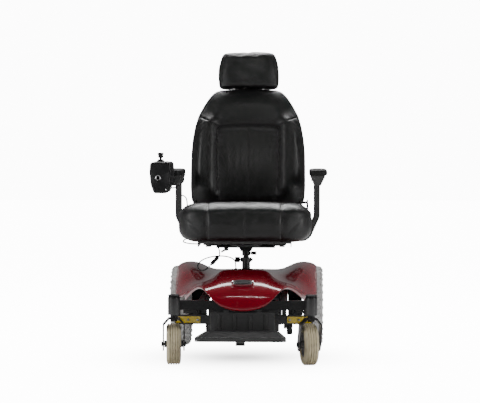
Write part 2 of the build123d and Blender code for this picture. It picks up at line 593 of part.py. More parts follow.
def make_back():
    rear = BACK_FRONT + BACK_THICK
    plane = Plane(origin=(0, 0, 0), x_dir=(1, 0, 0), z_dir=(0, -1, 0))
    cushion = Pos(0, rear, 0) * extrude(plane * back_outline(0), BACK_THICK)
    for side in SIDES.values():
        x = side * HEADPOST_X
        cushion -= rod((x, 10, BACK_TOP - HEADPOST_DEPTH - 6), (x, 10, BACK_TOP + 5), HEADPOST_R + 0.3)
    nodes["back_cushion"] = leaned(cushion)
    shell = Pos(0, rear + SEAT_GAP + BACK_SHELL_T, 0) * extrude(plane * back_outline(14), BACK_SHELL_T)
    frame = []
    behind = rear + 2 * SEAT_GAP + BACK_SHELL_T
    inner = EAR_X - SEAT_GAP - EAR_T
    for side in SIDES.values():
        ear = side_block(side, (inner, inner + EAR_T), (-EAR_R, behind + 16), (-EAR_R, EAR_R))
        ear += side_block(side, (inner, inner + EAR_T), (behind, behind + 16), (-EAR_R, 330))
        ear -= rod((side * (inner - 1), 0, 0), (side * (inner + 6), 0, 0), 5 + RUN_FIT)
        frame.append(ear)
    bars = []
    for height in (60, 310):
        bars.append(block((-inner, inner), (behind, behind + 16), (height, height + 20)))
    nodes["back_shell"] = leaned(Compound(children=[shell, frame[0] + frame[1] + bars[0] + bars[1]]))


def make_headrest():
    foot = BACK_TOP + HEAD_GAP
    front = BACK_FRONT + 22
    outline = Polyline((-HEAD_HALF[0], foot), (HEAD_HALF[0], foot), (HEAD_HALF[0] - 4, foot + 60),
                       (HEAD_HALF[1], foot + HEAD_H), (-HEAD_HALF[1], foot + HEAD_H),
                       (-HEAD_HALF[0] + 4, foot + 60), close=True)
    plane = Plane(origin=(0, 0, 0), x_dir=(1, 0, 0), z_dir=(0, -1, 0))
    pad = Pos(0, front + HEAD_THICK, 0) * extrude(plane * make_face(outline), HEAD_THICK)
    posts = []
    for side in SIDES.values():
        x = side * HEADPOST_X
        posts.append(leaned(rod((x, 10, BACK_TOP - HEADPOST_DEPTH), (x, 10, BACK_TOP + HEADPOST_UP),
                                HEADPOST_R)))
        pad -= rod((x, 10, foot - 1), (x, 10, BACK_TOP + HEADPOST_UP + 0.2), HEADPOST_R + PRESS_GAP)
    nodes["headrest_pad"] = leaned(pad)
    nodes["headrest_posts"] = Compound(children=posts)


# ---------------------------------------------------------------- arms
def make_arm(name, side):
    path = FilletPolyline((side * (SOCKET_IN + 4), POST_Y, SOCKET_Z), (side * 236, POST_Y, SOCKET_Z),
                          (side * ARM_X, POST_Y, 512), (side * ARM_X, POST_Y, ARM_PIVOT_Z + 11), radius=34)
    section = Plane(origin=path @ 0, z_dir=path % 0) * Rectangle(TUBE, TUBE)
    post = sweep(section, path)
    cheek_span = (side * (ARM_X - CHEEK_IN - CHEEK_T - 4), side * (ARM_X + CHEEK_IN + CHEEK_T + 4))
    pin_start = (cheek_span[0], POST_Y, ARM_PIVOT_Z)
    pin_end = (cheek_span[1], POST_Y, ARM_PIVOT_Z)
    nodes["arm_post_" + name] = post - rod(pin_start, pin_end, ARM_PIN_R + RUN_FIT)

    beam_rear = POST_Y - TUBE / 2 - 10
    beam = prism([(-12, ARM_BEAM_Z[0]), (12, ARM_BEAM_Z[0]), (28, ARM_BEAM_Z[1] - 5), (28, ARM_BEAM_Z[1]),
                  (-28, ARM_BEAM_Z[1]), (-28, ARM_BEAM_Z[1] - 5)], Plane.XZ, beam_rear - ARM_FRONT)
    bracket = Pos(side * ARM_X, (beam_rear + ARM_FRONT) / 2, 0) * beam
    for out in (-1, 1):
        near = ARM_X + out * CHEEK_IN
        far = ARM_X + out * (CHEEK_IN + CHEEK_T)
        bracket += side_block(side, sorted((near, far)), (beam_rear - 6, POST_Y + 20), ARM_BEAM_Z)
    web = (ARM_X - CHEEK_IN - CHEEK_T, ARM_X + CHEEK_IN + CHEEK_T)
    bracket += side_block(side, web, (beam_rear - 1, POST_Y + 8), (ARM_BEAM_Z[1] - 3, ARM_BEAM_Z[1]))
    bracket += rod(pin_start, pin_end, ARM_PIN_R)
    for x in cheek_span:
        bracket += Pos(x, POST_Y, ARM_PIVOT_Z) * disc(9, 5, 1.5)
    if name == "right":
        bracket -= rod((CTRL_ROD_X, ARM_FRONT - 1, CTRL_ROD_Z), (CTRL_ROD_X, 100, CTRL_ROD_Z),
                       CTRL_ROD_R + SEAT_GAP)
    nodes["arm_bracket_" + name] = bracket

    pad_z = (ARM_BEAM_Z[1] + SEAT_GAP, ARM_BEAM_Z[1] + SEAT_GAP + PAD_T)
    pad = side_block(side, (ARM_X + 3 - PAD_HALF, ARM_X + 3 + PAD_HALF), PAD_Y, pad_z)
    pad = fillet(pad.edges().filter_by(Axis.Z), 16)
    nodes["arm_pad_" + name] = fillet(pad.faces().sort_by(Axis.Z)[-1].edges(), 8)


# ---------------------------------------------------------------- controller
def make_controller():
    low, high = CTRL_Z
    profile = FilletPolyline((-25, low), (25, low), (37, low + 34), (CTRL_HALF, low + 80),
                             (CTRL_HALF - 3, high),
                             (-CTRL_HALF + 3, high), (-CTRL_HALF, low + 80), (-37,
                                                                              low + 34), radius=12, close=True)
    length = CTRL_Y[1] - CTRL_Y[0]
    plane = Plane(origin=(CTRL_X, CTRL_Y[1], 0), x_dir=(1, 0, 0), z_dir=(0, -1, 0))
    housing = extrude(plane * make_face(profile), length)
    front = housing.faces().sort_by(Axis.Y)[0]
    housing = fillet(front.edges(), 8)
    socket = (SOCKET_AT[0], CTRL_Y[0], SOCKET_AT[1])
    housing -= rod((socket[0], socket[1] - 1, socket[2]), (socket[0], socket[1] + CHARGER_DEPTH, socket[2]),
                   CHARGER_R)
    housing -= rod((*STICK, STICK_PIVOT - 14), (*STICK, high + 1), WELL_STICK_R)
    for spot in BUTTON_AT.values():
        housing -= rod((*spot, high - 5), (*spot, high + 1), BUTTON_R + SEAT_GAP)
    nodes["controller_housing"] = housing
    for name, spot in BUTTON_AT.items():
        button = rod((*spot, high - 2.5), (*spot, high + 1.5), BUTTON_R)
        nodes[name] = fillet(button.edges().sort_by(Axis.Z)[-1], 1)
    arm = rod((CTRL_ROD_X, CTRL_Y[1], CTRL_ROD_Z), (CTRL_ROD_X, 84, CTRL_ROD_Z), CTRL_ROD_R)
    nodes["controller_arm"] = arm

    gimbal = tube((*STICK, STICK_PIVOT - 2.5), (*STICK, STICK_PIVOT + 2.5), 12, 8)
    for end in (-1, 1):
        gimbal += rod((STICK[0] + end * 11, STICK[1], STICK_PIVOT),
                      (STICK[0] + end * 13.6, STICK[1], STICK_PIVOT), 1.5)
    nodes["joystick_gimbal"] = gimbal
    boot = Pos(*STICK, high + SEAT_GAP + 4.5) * (Cone(19, 12, 9) - Cylinder(BOOT_BORE, 12))
    nodes["joystick_boot"] = boot
    stick = rod((*STICK, STICK_PIVOT - 5), (*STICK, KNOB_TOP - 10), 3)
    for end in (-1, 1):
        stick += rod((STICK[0], STICK[1], STICK_PIVOT), (STICK[0], STICK[1] + end * 7.6, STICK_PIVOT), 1.5)
    knob = rod((*STICK, KNOB_TOP - 21), (*STICK, KNOB_TOP), KNOB_R)
    knob = fillet(knob.edges().filter_by(GeomType.CIRCLE), 6)
    nodes["joystick"] = stick + knob


# ---------------------------------------------------------------- leads
# Each lead's route is a list of points chosen by hand; the runs between them are straight and the
# corners are arcs as large as the runs allow.
LEAD_ENTRY = (-38, -42)
CONNECTOR = ((-100.8, -66.2, 373), (-135.2, -73.8, 337))
DROP_ROUTE = [(-104, -60, SLEEVE_Z[1] - 1), (-99, -60, 392), (-100.2, -65.5, 375)]
BASE_ROUTE = [(-137, -74.2, 335), (-148, -76, 323), (-166, -72, 315), (-184, -62, 322), (-184, -54, 341),
              (-166, -52, 357), (-140, -55, 367), (-112, -52, 371), (-84, -48, 371), (-60, -44, 366),
              (-42.5, -42, 356), (-38.5, -42, 338), (-38, -42, 319)]
SEAT_ROUTE = [(-261, 208, 594), (-248, 205, 590), (-241, 198, 573), (-240, 191, 542), (-241, 190, 505),
              (-241, 190.4, 468), (-240, 190, 437), (-238, 168, 427), (-236, 126, 427), (-237, 76, 428),
              (-238, 20, 430),
              (-238, -36, 431), (-238, -86, 430), (-232, -122, 428), (-212, -142, 425), (-190, -146, 424),
              (-176.2, -146, 424)]
ARM_ROUTE = [(-284, -89, 634), (-279, -72, 632.5), (-266, -50, 635), (-254, -22, 643), (-251, 16, 648),
             (-252, 62, 650), (-252, 110, 649), (-252.5, 150, 651), (-253, 182, 655)]


def route_tube(name, points):
    """A lead along its route; prints each corner's radius and the volume against section times length."""
    spots = [Vector(*point) for point in points]
    radii = []
    for before, corner, after in zip(spots, spots[1:], spots[2:]):
        turn = radians((corner - before).get_angle(after - corner))
        shorter = min((corner - before).length, (after - corner).length)
        radii.append(0.45 * shorter / tan(turn / 2))
    path = FilletPolyline(*points, radius=radii)
    lead = sweep(Plane(origin=path @ 0, z_dir=path % 0) * Circle(LEAD_R), path)
    expected = 3.14159265 * LEAD_R ** 2 * path.length
    print(name, "length", round(path.length, 1), "volume ratio", round(lead.volume / expected, 4),
          "radii", [round(radius, 1) for radius in radii])
    nodes[name] = lead


def make_leads():
    route_tube("drop_lead", DROP_ROUTE)
    route_tube("base_lead", BASE_ROUTE)
    route_tube("seat_lead", SEAT_ROUTE)
    route_tube("arm_lead", ARM_ROUTE)
    nodes["inline_connector"] = rod(*CONNECTOR, 8)


CORD_NODES = ("drop_lead", "base_lead", "seat_lead", "arm_lead", "inline_connector")


def build():
    make_front_frame()
    make_main_frame()
    make_batteries()
    make_anti_tip()
    for name, side in SIDES.items():
        make_motor(name, side)
        make_drive_wheel(name, side)
        make_caster(name, side)
        make_arm(name, side)
    make_reflector_bar()
    make_footplate()
    make_shroud()
    make_mast()
    make_turntable()
    make_seat_pan()
    make_seat_cushion()
    make_back()
    make_headrest()
    make_controller()
    make_leads()


def whole_centre():
    """The middle of the chair's box, its leads apart."""
    solid_nodes = [shape for name, shape in nodes.items() if name not in CORD_NODES]
    boxes = [shape.bounding_box() for shape in solid_nodes]
    low = [min(box.min.X for box in boxes), min(box.min.Y for box in boxes)]
    high = [max(box.max.X for box in boxes), max(box.max.Y for box in boxes)]
    return (low[0] + high[0]) / 2, (low[1] + high[1]) / 2


build()
CENTRE = whole_centre()
os.makedirs("parts", exist_ok=True)
for node, shape in nodes.items():
    export_step(Pos(-CENTRE[0], -CENTRE[1], 0) * shape, "parts/" + node + ".step")
print("nodes", len(nodes), "centre", CENTRE)
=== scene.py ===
"""The looks of a power wheelchair: a glossy red base shell, black stitched vinyl seat, armrests, controller,
leads, tyres and finishes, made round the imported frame."""
import bmesh
import bpy
import json
from math import cos, exp, hypot, pi, radians, sin
from mathutils import Matrix, Vector


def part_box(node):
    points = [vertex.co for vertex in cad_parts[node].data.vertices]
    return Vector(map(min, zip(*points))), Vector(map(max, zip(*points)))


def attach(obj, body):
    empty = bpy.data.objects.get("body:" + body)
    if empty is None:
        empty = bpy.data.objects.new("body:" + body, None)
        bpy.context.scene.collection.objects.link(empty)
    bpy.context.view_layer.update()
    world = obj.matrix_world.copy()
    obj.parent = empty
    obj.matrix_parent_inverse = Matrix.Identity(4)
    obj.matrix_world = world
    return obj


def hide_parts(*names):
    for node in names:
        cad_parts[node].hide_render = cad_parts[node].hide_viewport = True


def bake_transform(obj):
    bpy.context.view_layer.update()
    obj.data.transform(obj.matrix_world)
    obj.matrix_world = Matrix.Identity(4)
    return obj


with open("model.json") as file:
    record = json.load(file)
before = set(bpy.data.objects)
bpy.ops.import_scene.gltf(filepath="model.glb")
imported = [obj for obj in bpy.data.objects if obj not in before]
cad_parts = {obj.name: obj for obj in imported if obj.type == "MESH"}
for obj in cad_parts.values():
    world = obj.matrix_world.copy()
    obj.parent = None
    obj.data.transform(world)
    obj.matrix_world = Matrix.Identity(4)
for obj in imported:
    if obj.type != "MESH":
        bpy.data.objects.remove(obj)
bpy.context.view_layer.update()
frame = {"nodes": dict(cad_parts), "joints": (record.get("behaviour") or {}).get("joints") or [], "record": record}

NODES = frame["nodes"]
MM = 0.001


def node_centre(name):
    low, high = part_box(name)
    return (Vector(low) + Vector(high)) / 2


# The mast post stands on the chair's mid-plane, and the chair's own millimetres are counted from its axis.
MAST = node_centre("mast_post")


def at(x, y, z):
    """A point in the chair's millimetres, from the mast axis and the floor, as metres in the row's frame."""
    return Vector((MAST.x + x * MM, MAST.y + y * MM, z * MM))


# ---------------------------------------------------------------- camera, light and floor
CAMERA_TURN = radians(1.9)
CAMERA_DISTANCE = 6048          # to the caster axles
CAMERA_HEIGHT = 854
CAMERA_DIP = radians(2.45)
CASTER_AXLE_Y = -395
SIDE_STEP = 10.5


def make_camera():
    data = bpy.data.cameras.new("camera")
    data.sensor_width = 36
    data.lens = 125.3
    data.clip_end = 60
    camera = bpy.data.objects.new("camera", data)
    bpy.context.scene.collection.objects.link(camera)
    turn_sin, turn_cos = sin(CAMERA_TURN), cos(CAMERA_TURN)
    camera.location = at(CAMERA_DISTANCE * turn_sin - SIDE_STEP * turn_cos,
                         CASTER_AXLE_Y - CAMERA_DISTANCE * turn_cos - SIDE_STEP * turn_sin, CAMERA_HEIGHT)
    camera.rotation_euler = (pi / 2 - CAMERA_DIP, 0, CAMERA_TURN)
    bpy.context.scene.camera = camera


def area_light(name, place, target, size, power):
    data = bpy.data.lights.new(name, "AREA")
    data.shape = "RECTANGLE"
    data.size, data.size_y = size
    data.energy = power
    lamp = bpy.data.objects.new(name, data)
    bpy.context.scene.collection.objects.link(lamp)
    lamp.location = place
    lamp.rotation_euler = (Vector(target) - Vector(place)).to_track_quat("-Z", "Y").to_euler()


def make_lights():
    area_light("top_softbox", (0.0, 1.5, 3.0), (0, 0, 0.6), (2.4, 0.9), 130)
    area_light("left_softbox", (-3.0, -2.0, 1.3), (0, 0, 0.6), (0.35, 2.2), 60)
    area_light("right_softbox", (3.0, -2.0, 1.3), (0, 0, 0.6), (0.35, 2.2), 60)
    area_light("front_fill", (0.1, -4.6, 3.8), (0, 0, 0.5), (1.6, 0.10), 26)
    world = bpy.data.worlds.new("studio")
    bpy.context.scene.world = world
    world.use_nodes = True
    tree = world.node_tree
    tree.nodes.clear()
    out = tree.nodes.new("ShaderNodeOutputWorld")
    back = tree.nodes.new("ShaderNodeBackground")
    coords = tree.nodes.new("ShaderNodeTexCoord")
    split = tree.nodes.new("ShaderNodeSeparateXYZ")
    ramp = tree.nodes.new("ShaderNodeMapRange")
    ramp.inputs["From Min"].default_value = -0.9
    ramp.inputs["From Max"].default_value = 0.5
    ramp.inputs["To Min"].default_value = 0.02
    ramp.inputs["To Max"].default_value = 0.30
    paths = tree.nodes.new("ShaderNodeLightPath")
    pick = tree.nodes.new("ShaderNodeMix")
    pick.inputs["B"].default_value = 15.0
    tree.links.new(coords.outputs["Generated"], split.inputs[0])
    tree.links.new(split.outputs["Y"], ramp.inputs["Value"])
    tree.links.new(ramp.outputs["Result"], pick.inputs["A"])
    tree.links.new(paths.outputs["Is Camera Ray"], pick.inputs["Factor"])
    tree.links.new(pick.outputs["Result"], back.inputs["Strength"])
    tree.links.new(back.outputs[0], out.inputs["Surface"])


# ---------------------------------------------------------------- shader maths
class Wire:
    """A shader socket that takes Python's operators."""
    tree = None

    def __init__(self, socket):
        self.socket = socket

    @classmethod
    def node(cls, kind, settings=None, **values):
        """Adds a node of that kind; its settings are set first, then its inputs by name."""
        made = cls.tree.nodes.new("ShaderNode" + kind)
        for key, value in (settings or {}).items():
            if key == "stops":
                ramp = made.color_ramp
                while len(ramp.elements) < len(value):
                    ramp.elements.new(0.5)
                for element, (position, colour) in zip(ramp.elements, value):
                    element.position = position
                    element.color = (*colour, 1) if isinstance(colour, tuple) else (colour, colour, colour, 1)
            else:
                setattr(made, key, value)
        for key, value in values.items():
            by_number = key[0] == "i" and key[1:].isdigit()
            slot = made.inputs[int(key[1:]) if by_number else key.replace("_", " ")]
            if isinstance(value, Wire):
                cls.tree.links.new(value.socket, slot)
            else:
                slot.default_value = value
        return made

    def maths(self, operation, *others):
        made = Wire.tree.nodes.new("ShaderNodeMath")
        made.operation = operation
        for slot, value in zip(made.inputs, (self, *others)):
            if isinstance(value, Wire):
                Wire.tree.links.new(value.socket, slot)
            else:
                slot.default_value = value
        return Wire(made.outputs[0])

    def __add__(self, other): return self.maths("ADD", other)
    def __radd__(self, other): return self.maths("ADD", other)
    def __sub__(self, other): return self.maths("SUBTRACT", other)
    def __rsub__(self, other): return wire_value(other).maths("SUBTRACT", self)
    def __mul__(self, other): return self.maths("MULTIPLY", other)
    def __rmul__(self, other): return self.maths("MULTIPLY", other)
    def __truediv__(self, other): return self.maths("DIVIDE", other)

    def smooth(self, low, high):
        made = Wire.node("MapRange", {"interpolation_type": "SMOOTHSTEP"}, Value=self, From_Min=low,
                         From_Max=high)
        return Wire(made.outputs["Result"])

    def clamp(self):
        return self.maths("MAXIMUM", 0.0).maths("MINIMUM", 1.0)


def wire_value(number):
    made = Wire.tree.nodes.new("ShaderNodeMath")
    made.operation = "ADD"
    made.inputs[0].default_value = number
    made.inputs[1].default_value = 0.0
    return Wire(made.outputs[0])


def object_coords():
    return Wire(Wire.node("TexCoord").outputs["Object"])


def noise(scale, detail=3.0, rough=0.55, coords=None):
    return Wire(Wire.node("TexNoise", None, Vector=coords or object_coords(), Scale=scale, Detail=detail,
                          Roughness=rough).outputs["Fac"])


def cells(scale, feature="F1", coords=None):
    made = Wire.node("TexVoronoi", {"feature": feature}, Vector=coords or object_coords(), Scale=scale)
    return Wire(made.outputs["Distance"])


def blend_colour(mask, first, second):
    made = Wire.node("Mix", {"data_type": "RGBA"})
    for slot, value in ((made.inputs[0], mask), (made.inputs[6], first), (made.inputs[7], second)):
        if isinstance(value, Wire):
            Wire.tree.links.new(value.socket, slot)
        elif isinstance(value, tuple):
            slot.default_value = (*value, 1)
        else:
            slot.default_value = value
    return Wire(made.outputs[2])


def edge_wear():
    """Rises towards 1 on convex edges."""
    point = Wire(Wire.node("NewGeometry").outputs["Pointiness"])
    return point.smooth(0.52, 0.60)


def finish_material(colour, rough, bump=None, bump_depth=0.0002, metallic=0.0, coat=0.0, coat_rough=0.05,
                    sheen=0.0, specular=0.5):
    """Closes the open tree with a Principled shader. Colour, rough and bump may be wires."""
    material = Wire.tree_material
    shader = Wire.node("BsdfPrincipled")
    for key, value in (("Base Color", colour), ("Roughness", rough), ("Metallic", metallic)):
        if isinstance(value, Wire):
            Wire.tree.links.new(value.socket, shader.inputs[key])
        else:
            shader.inputs[key].default_value = (*value, 1) if isinstance(value, tuple) else value
    shader.inputs["Coat Weight"].default_value = coat
    shader.inputs["Coat Roughness"].default_value = coat_rough
    shader.inputs["Sheen Weight"].default_value = sheen
    shader.inputs["Specular IOR Level"].default_value = specular
    if bump is not None:
        made = Wire.node("Bump", None, Height=bump, Distance=bump_depth, Strength=1.0)
        Wire.tree.links.new(made.outputs["Normal"], shader.inputs["Normal"])
    out = Wire.node("OutputMaterial")
    Wire.tree.links.new(shader.outputs[0], out.inputs["Surface"])
    return material


def open_material(name):
    material = bpy.data.materials.new(name)
    material.use_nodes = True
    material.node_tree.nodes.clear()
    Wire.tree = material.node_tree
    Wire.tree_material = material


def shell_red():
    open_material("shell_red")
    broad = noise(3.0, 2.0)
    flake = noise(900.0, 1.0)
    dust = noise(40.0, 5.0, 0.7).smooth(0.55, 0.85)
    colour = blend_colour(broad, (0.17, 0.0015, 0.009), (0.22, 0.003, 0.013))
    colour = blend_colour(dust * 0.10, colour, (0.42, 0.30, 0.28))
    return finish_material(colour, 0.16 + dust * 0.10 + flake * 0.03, noise(9.0, 1.0), 0.0002,
                           coat=0.55, coat_rough=0.03, specular=0.3)


def vinyl(name, shade=0.0035):
    open_material(name)
    grain = cells(420.0, "DISTANCE_TO_EDGE").smooth(0.0, 0.25)
    fine = noise(700.0, 2.0)
    creases = noise(22.0, 4.0, 0.6)
    worn = noise(7.0, 3.0).smooth(0.45, 0.8)
    colour = blend_colour(worn, (shade, shade, shade * 1.05), (shade * 1.9, shade * 1.9, shade * 2.0))
    rough = 0.30 + worn * 0.12 + fine * 0.08
    return finish_material(colour, rough, grain * 0.5 + fine * 0.2 + creases * 1.6, 0.0004, specular=0.4,
                           coat=0.1, coat_rough=0.2)


def black_paint():
    open_material("black_paint")
    peel = noise(260.0, 2.0)
    dirt = noise(30.0, 5.0, 0.7).smooth(0.5, 0.8)
    colour = blend_colour(dirt, (0.004, 0.004, 0.0042), (0.010, 0.0095, 0.009))
    colour = blend_colour(edge_wear() * 0.5, colour, (0.10, 0.10, 0.10))
    return finish_material(colour, 0.34 + dirt * 0.25, peel, 0.00015, coat=0.05, coat_rough=0.2, specular=0.3)


def moulded_black(name, rough, depth=0.0002):
    open_material(name)
    pits = cells(900.0)
    haze = noise(18.0, 4.0).smooth(0.4, 0.8)
    colour = blend_colour(haze, (0.0035, 0.0035, 0.004), (0.008, 0.008, 0.0085))
    colour = blend_colour(edge_wear() * 0.35, colour, (0.07, 0.07, 0.07))
    return finish_material(colour, rough + haze * 0.12, pits, depth, specular=0.3)


def tyre_rubber(name, light, dark):
    open_material(name)
    grain = noise(500.0, 3.0)
    dirt = noise(45.0, 6.0, 0.7).smooth(0.42, 0.72)
    colour = blend_colour(dirt, light, dark)
    colour = blend_colour(edge_wear() * 0.4, colour, tuple(min(1.0, channel * 1.25) for channel in light))
    return finish_material(colour, 0.72 + dirt * 0.15, grain, 0.0003)


def wheel_plastic():
    open_material("wheel_plastic")
    mottled = noise(60.0, 4.0)
    colour = blend_colour(mottled, (0.10, 0.10, 0.105), (0.15, 0.15, 0.155))
    return finish_material(colour, 0.42 + mottled * 0.1, noise(300.0, 2.0), 0.0001)


def bright_metal(name, colour, rough):
    open_material(name)
    scratches = Wire(Wire.node("TexNoise", None, Vector=Wire(Wire.node(
        "Mapping", None, Vector=object_coords(), Scale=(40.0, 900.0,
                                                        900.0)).outputs[0]), Scale=1.0, Detail=3.0
    ).outputs["Fac"])
    tarnish = noise(35.0, 4.0).smooth(0.45, 0.8)
    shade = blend_colour(tarnish, colour, tuple(channel * 0.7 for channel in colour))
    return finish_material(shade, rough + scratches * 0.12, scratches, 0.00005, metallic=1.0)


def reflector():
    open_material("reflector")
    prisms = cells(320.0, "F1")
    # Painted glints: each prism cell is painted bright yellow at its centre and darker towards its edges, standing
    # in for light thrown back by the prisms.
    painted_facet_glint = prisms.smooth(0.1, 0.6)
    colour = blend_colour(painted_facet_glint, (0.80, 0.62, 0.04), (0.52, 0.36, 0.01))
    return finish_material(colour, 0.18 + painted_facet_glint * 0.1, prisms, 0.0008, coat=1.0)


def lead_sheath():
    open_material("lead_sheath")
    scuff = noise(160.0, 4.0).smooth(0.45, 0.75)
    colour = blend_colour(scuff, (0.003, 0.003, 0.0033), (0.008, 0.008, 0.008))
    return finish_material(colour, 0.42 + scuff * 0.2, noise(900.0, 2.0), 0.0002)


def battery_case():
    open_material("battery_case")
    ribs = noise(90.0, 3.0)
    colour = blend_colour(ribs, (0.06, 0.06, 0.065), (0.10, 0.10, 0.105))
    return finish_material(colour, 0.5 + ribs * 0.15, ribs, 0.0003)


FLOOR_GLOW = 13.0


def floor_white():
    open_material("floor_white")
    tone = noise(1.5, 2.0)
    material = finish_material(blend_colour(tone, (0.93, 0.93, 0.93), (0.96, 0.96, 0.96)), 0.7)
    shader = material.node_tree.nodes["Principled BSDF"]
    seen = Wire(Wire.node("LightPath").outputs["Is Camera Ray"])
    shader.inputs["Emission Strength"].default_value = FLOOR_GLOW
    place = Wire.node("SeparateXYZ", None, Vector=object_coords())
    across, along = Wire(place.outputs["X"]), Wire(place.outputs["Y"])
    # Painted contact shadow: a soft dark oval is painted into the floor's glow under the chair, and only the
    # camera sees that glow.
    painted_shadow_spread = across * across * 9.0 + (along + 0.07) * (along + 0.07) * 14.0
    shade = 1 - (painted_shadow_spread * -1.0).maths("EXPONENT") * 0.86
    glow_with_painted_shadow = blend_colour(seen * shade, (0, 0, 0), (1, 1, 1))
    Wire.tree.links.new(glow_with_painted_shadow.socket, shader.inputs["Emission Color"])
    return material


LOOKS = {
    "shell": shell_red(), "vinyl": vinyl("seat_vinyl"), "bolster": vinyl("bolster_vinyl", 0.0032),
    "paint": black_paint(), "plastic": moulded_black("moulded_black",
                                                     0.38), "soft": moulded_black("soft_black", 0.6),
    "drive_rubber": tyre_rubber("drive_rubber", (0.52, 0.52, 0.51), (0.30, 0.30, 0.29)),
    "caster_rubber": tyre_rubber("caster_rubber", (0.60, 0.53, 0.36), (0.44, 0.38, 0.25)),
    "wheel": wheel_plastic(), "chrome": bright_metal("chrome_trim", (0.75, 0.75, 0.76), 0.08),
    "steel": bright_metal("plain_steel", (0.45, 0.45, 0.46), 0.25), "reflector": reflector(),
    "lead": lead_sheath(), "battery": battery_case(), "floor": floor_white()}

SLOT_LOOKS = {"black_metal": "paint", "battery_case": "battery", "red_shell": "shell",
              "badge_chrome": "chrome",
              "reflector_yellow": "reflector", "red_plastic": "plastic", "wheel_grey": "wheel",
              "drive_rubber": "drive_rubber", "caster_rubber": "caster_rubber", "black_rubber": "soft",
              "black_plastic": "plastic", "steel": "steel", "black_vinyl": "vinyl", "lead_sheath": "lead"}


def finish_cad_nodes():
    """Gives every carried-over node the look of its slot."""
    for part in frame["record"]["subparts"]:
        node = NODES[part["node"]]
        node.data.materials.clear()
        node.data.materials.append(LOOKS[SLOT_LOOKS[part["material_slot"]]])


# ---------------------------------------------------------------- making pieces
def piece(name, bm, look, body, replaces=(), smooth=True, angle=40):
    """Turns a bmesh in row metres into a finished piece that rides on its body."""
    bmesh.ops.remove_doubles(bm, verts=bm.verts[:], dist=1e-6)
    bmesh.ops.recalc_face_normals(bm, faces=bm.faces[:])
    mesh = bpy.data.meshes.new(name)
    bm.to_mesh(mesh)
    bm.free()
    made = bpy.data.objects.new(name, mesh)
    bpy.context.scene.collection.objects.link(made)
    mesh.materials.append(LOOKS[look])
    if smooth:
        mesh.shade_smooth()
        mesh.set_sharp_from_angle(angle=radians(angle))
    if body:
        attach(made, body)
    if replaces:
        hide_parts(*replaces)
    return made


def apply_modifiers(made):
    """Bakes an object's live modifiers into its mesh."""
    graph = bpy.context.evaluated_depsgraph_get()
    mesh = bpy.data.meshes.new_from_object(made.evaluated_get(graph))
    made.modifiers.clear()
    made.data = mesh


def add_box(bm, low, high, round_by=0.0, segments=3):
    """A box between two corners in row metres, its edges rounded."""
    made = bmesh.ops.create_cube(bm, size=1.0)["verts"]
    size = Vector(high) - Vector(low)
    bmesh.ops.scale(bm, vec=size, verts=made)
    bmesh.ops.translate(bm, vec=(Vector(low) + Vector(high)) / 2, verts=made)
    if round_by:
        edges = list({edge for vert in made for edge in vert.link_edges})
        bmesh.ops.bevel(bm, geom=edges, offset=round_by, segments=segments, profile=0.5, affect="EDGES",
                        material=-1)


def add_turned(bm, profile, centre, axis, steps=64):
    """Spins an outline of (radius, distance along the axis) in metres right round."""
    turn = Vector((0, 0, 1)).rotation_difference(Vector(axis)).to_matrix().to_4x4()
    place = Matrix.Translation(centre) @ turn
    verts = [bm.verts.new((radius, 0, along)) for radius, along in profile]
    edges = [bm.edges.new(pair) for pair in zip(verts, verts[1:])]
    made = bmesh.ops.spin(bm, geom=verts + edges, cent=(0, 0, 0), axis=(0, 0, 1), angle=2 * pi, steps=steps,
                          use_merge=True, use_duplicate=False)
    every = {vert for item in made["geom_last"] for vert in (item.verts if hasattr(item,
                                                                                   "verts") else [item])}
    fresh = set(verts)
    queue = list(verts)
    while queue:
        vert = queue.pop()
        for edge in vert.link_edges:
            other = edge.other_vert(vert)
            if other not in fresh:
                fresh.add(other)
                queue.append(other)
    bmesh.ops.transform(bm, matrix=place, verts=list(fresh | every))
    return list(fresh)


# ---------------------------------------------------------------- leads
LEAD_D = 0.0052
DROP_ROUTE = [(-105, -58.5, 403.5), (-98, -56, 391), (-100.5, -66, 374)]
BASE_ROUTE = [(-137, -74.2, 335), (-148, -76, 323), (-166, -72, 315), (-184, -62, 322), (-184, -54, 341),
              (-166, -52, 357), (-140, -55, 367), (-112, -52, 371), (-84, -48, 371), (-60, -44, 366),
              (-42.5, -42, 356), (-38.5, -42, 338), (-38, -42, 319)]
SEAT_ROUTE = [(-261, 208, 594), (-248, 205, 590), (-241, 198, 573), (-240, 191, 542), (-241, 190, 505),
              (-241, 190.4, 468), (-240, 190, 437), (-238, 168, 427), (-236, 126, 427), (-237, 76, 428),
              (-238, 20, 430), (-238, -36, 431), (-238, -86, 430), (-232, -122, 428), (-212, -142, 425),
              (-190, -146, 424), (-176.2, -146, 424)]
ARM_ROUTE = [(-284, -89, 634), (-279, -72, 632.5), (-266, -50, 635), (-254, -22, 643), (-251, 16, 648),
             (-252, 62, 650), (-252, 110, 649), (-252.5, 150, 651), (-253, 182, 655)]
CONNECTOR = ((-100.8, -66.2, 373), (-135.2, -73.8, 337))


def spline_length(curve):
    bare = curve.copy()
    bare.bevel_depth = 0
    ghost = bpy.data.objects.new("route", bare)
    mesh = bpy.data.meshes.new_from_object(ghost)
    points = [vert.co.copy() for vert in mesh.vertices]
    bpy.data.objects.remove(ghost)
    return sum((after - before).length for before, after in zip(points, points[1:])), points


def lead_curve(name, route):
    curve = bpy.data.curves.new(name, "CURVE")
    curve.dimensions = "3D"
    spline = curve.splines.new("NURBS")
    spline.points.add(len(route) - 1)
    for point, spot in zip(spline.points, route):
        point.co = (*at(*spot), 1)
    spline.order_u = 3
    spline.use_endpoint_u = True
    spline.resolution_u = 10
    return curve


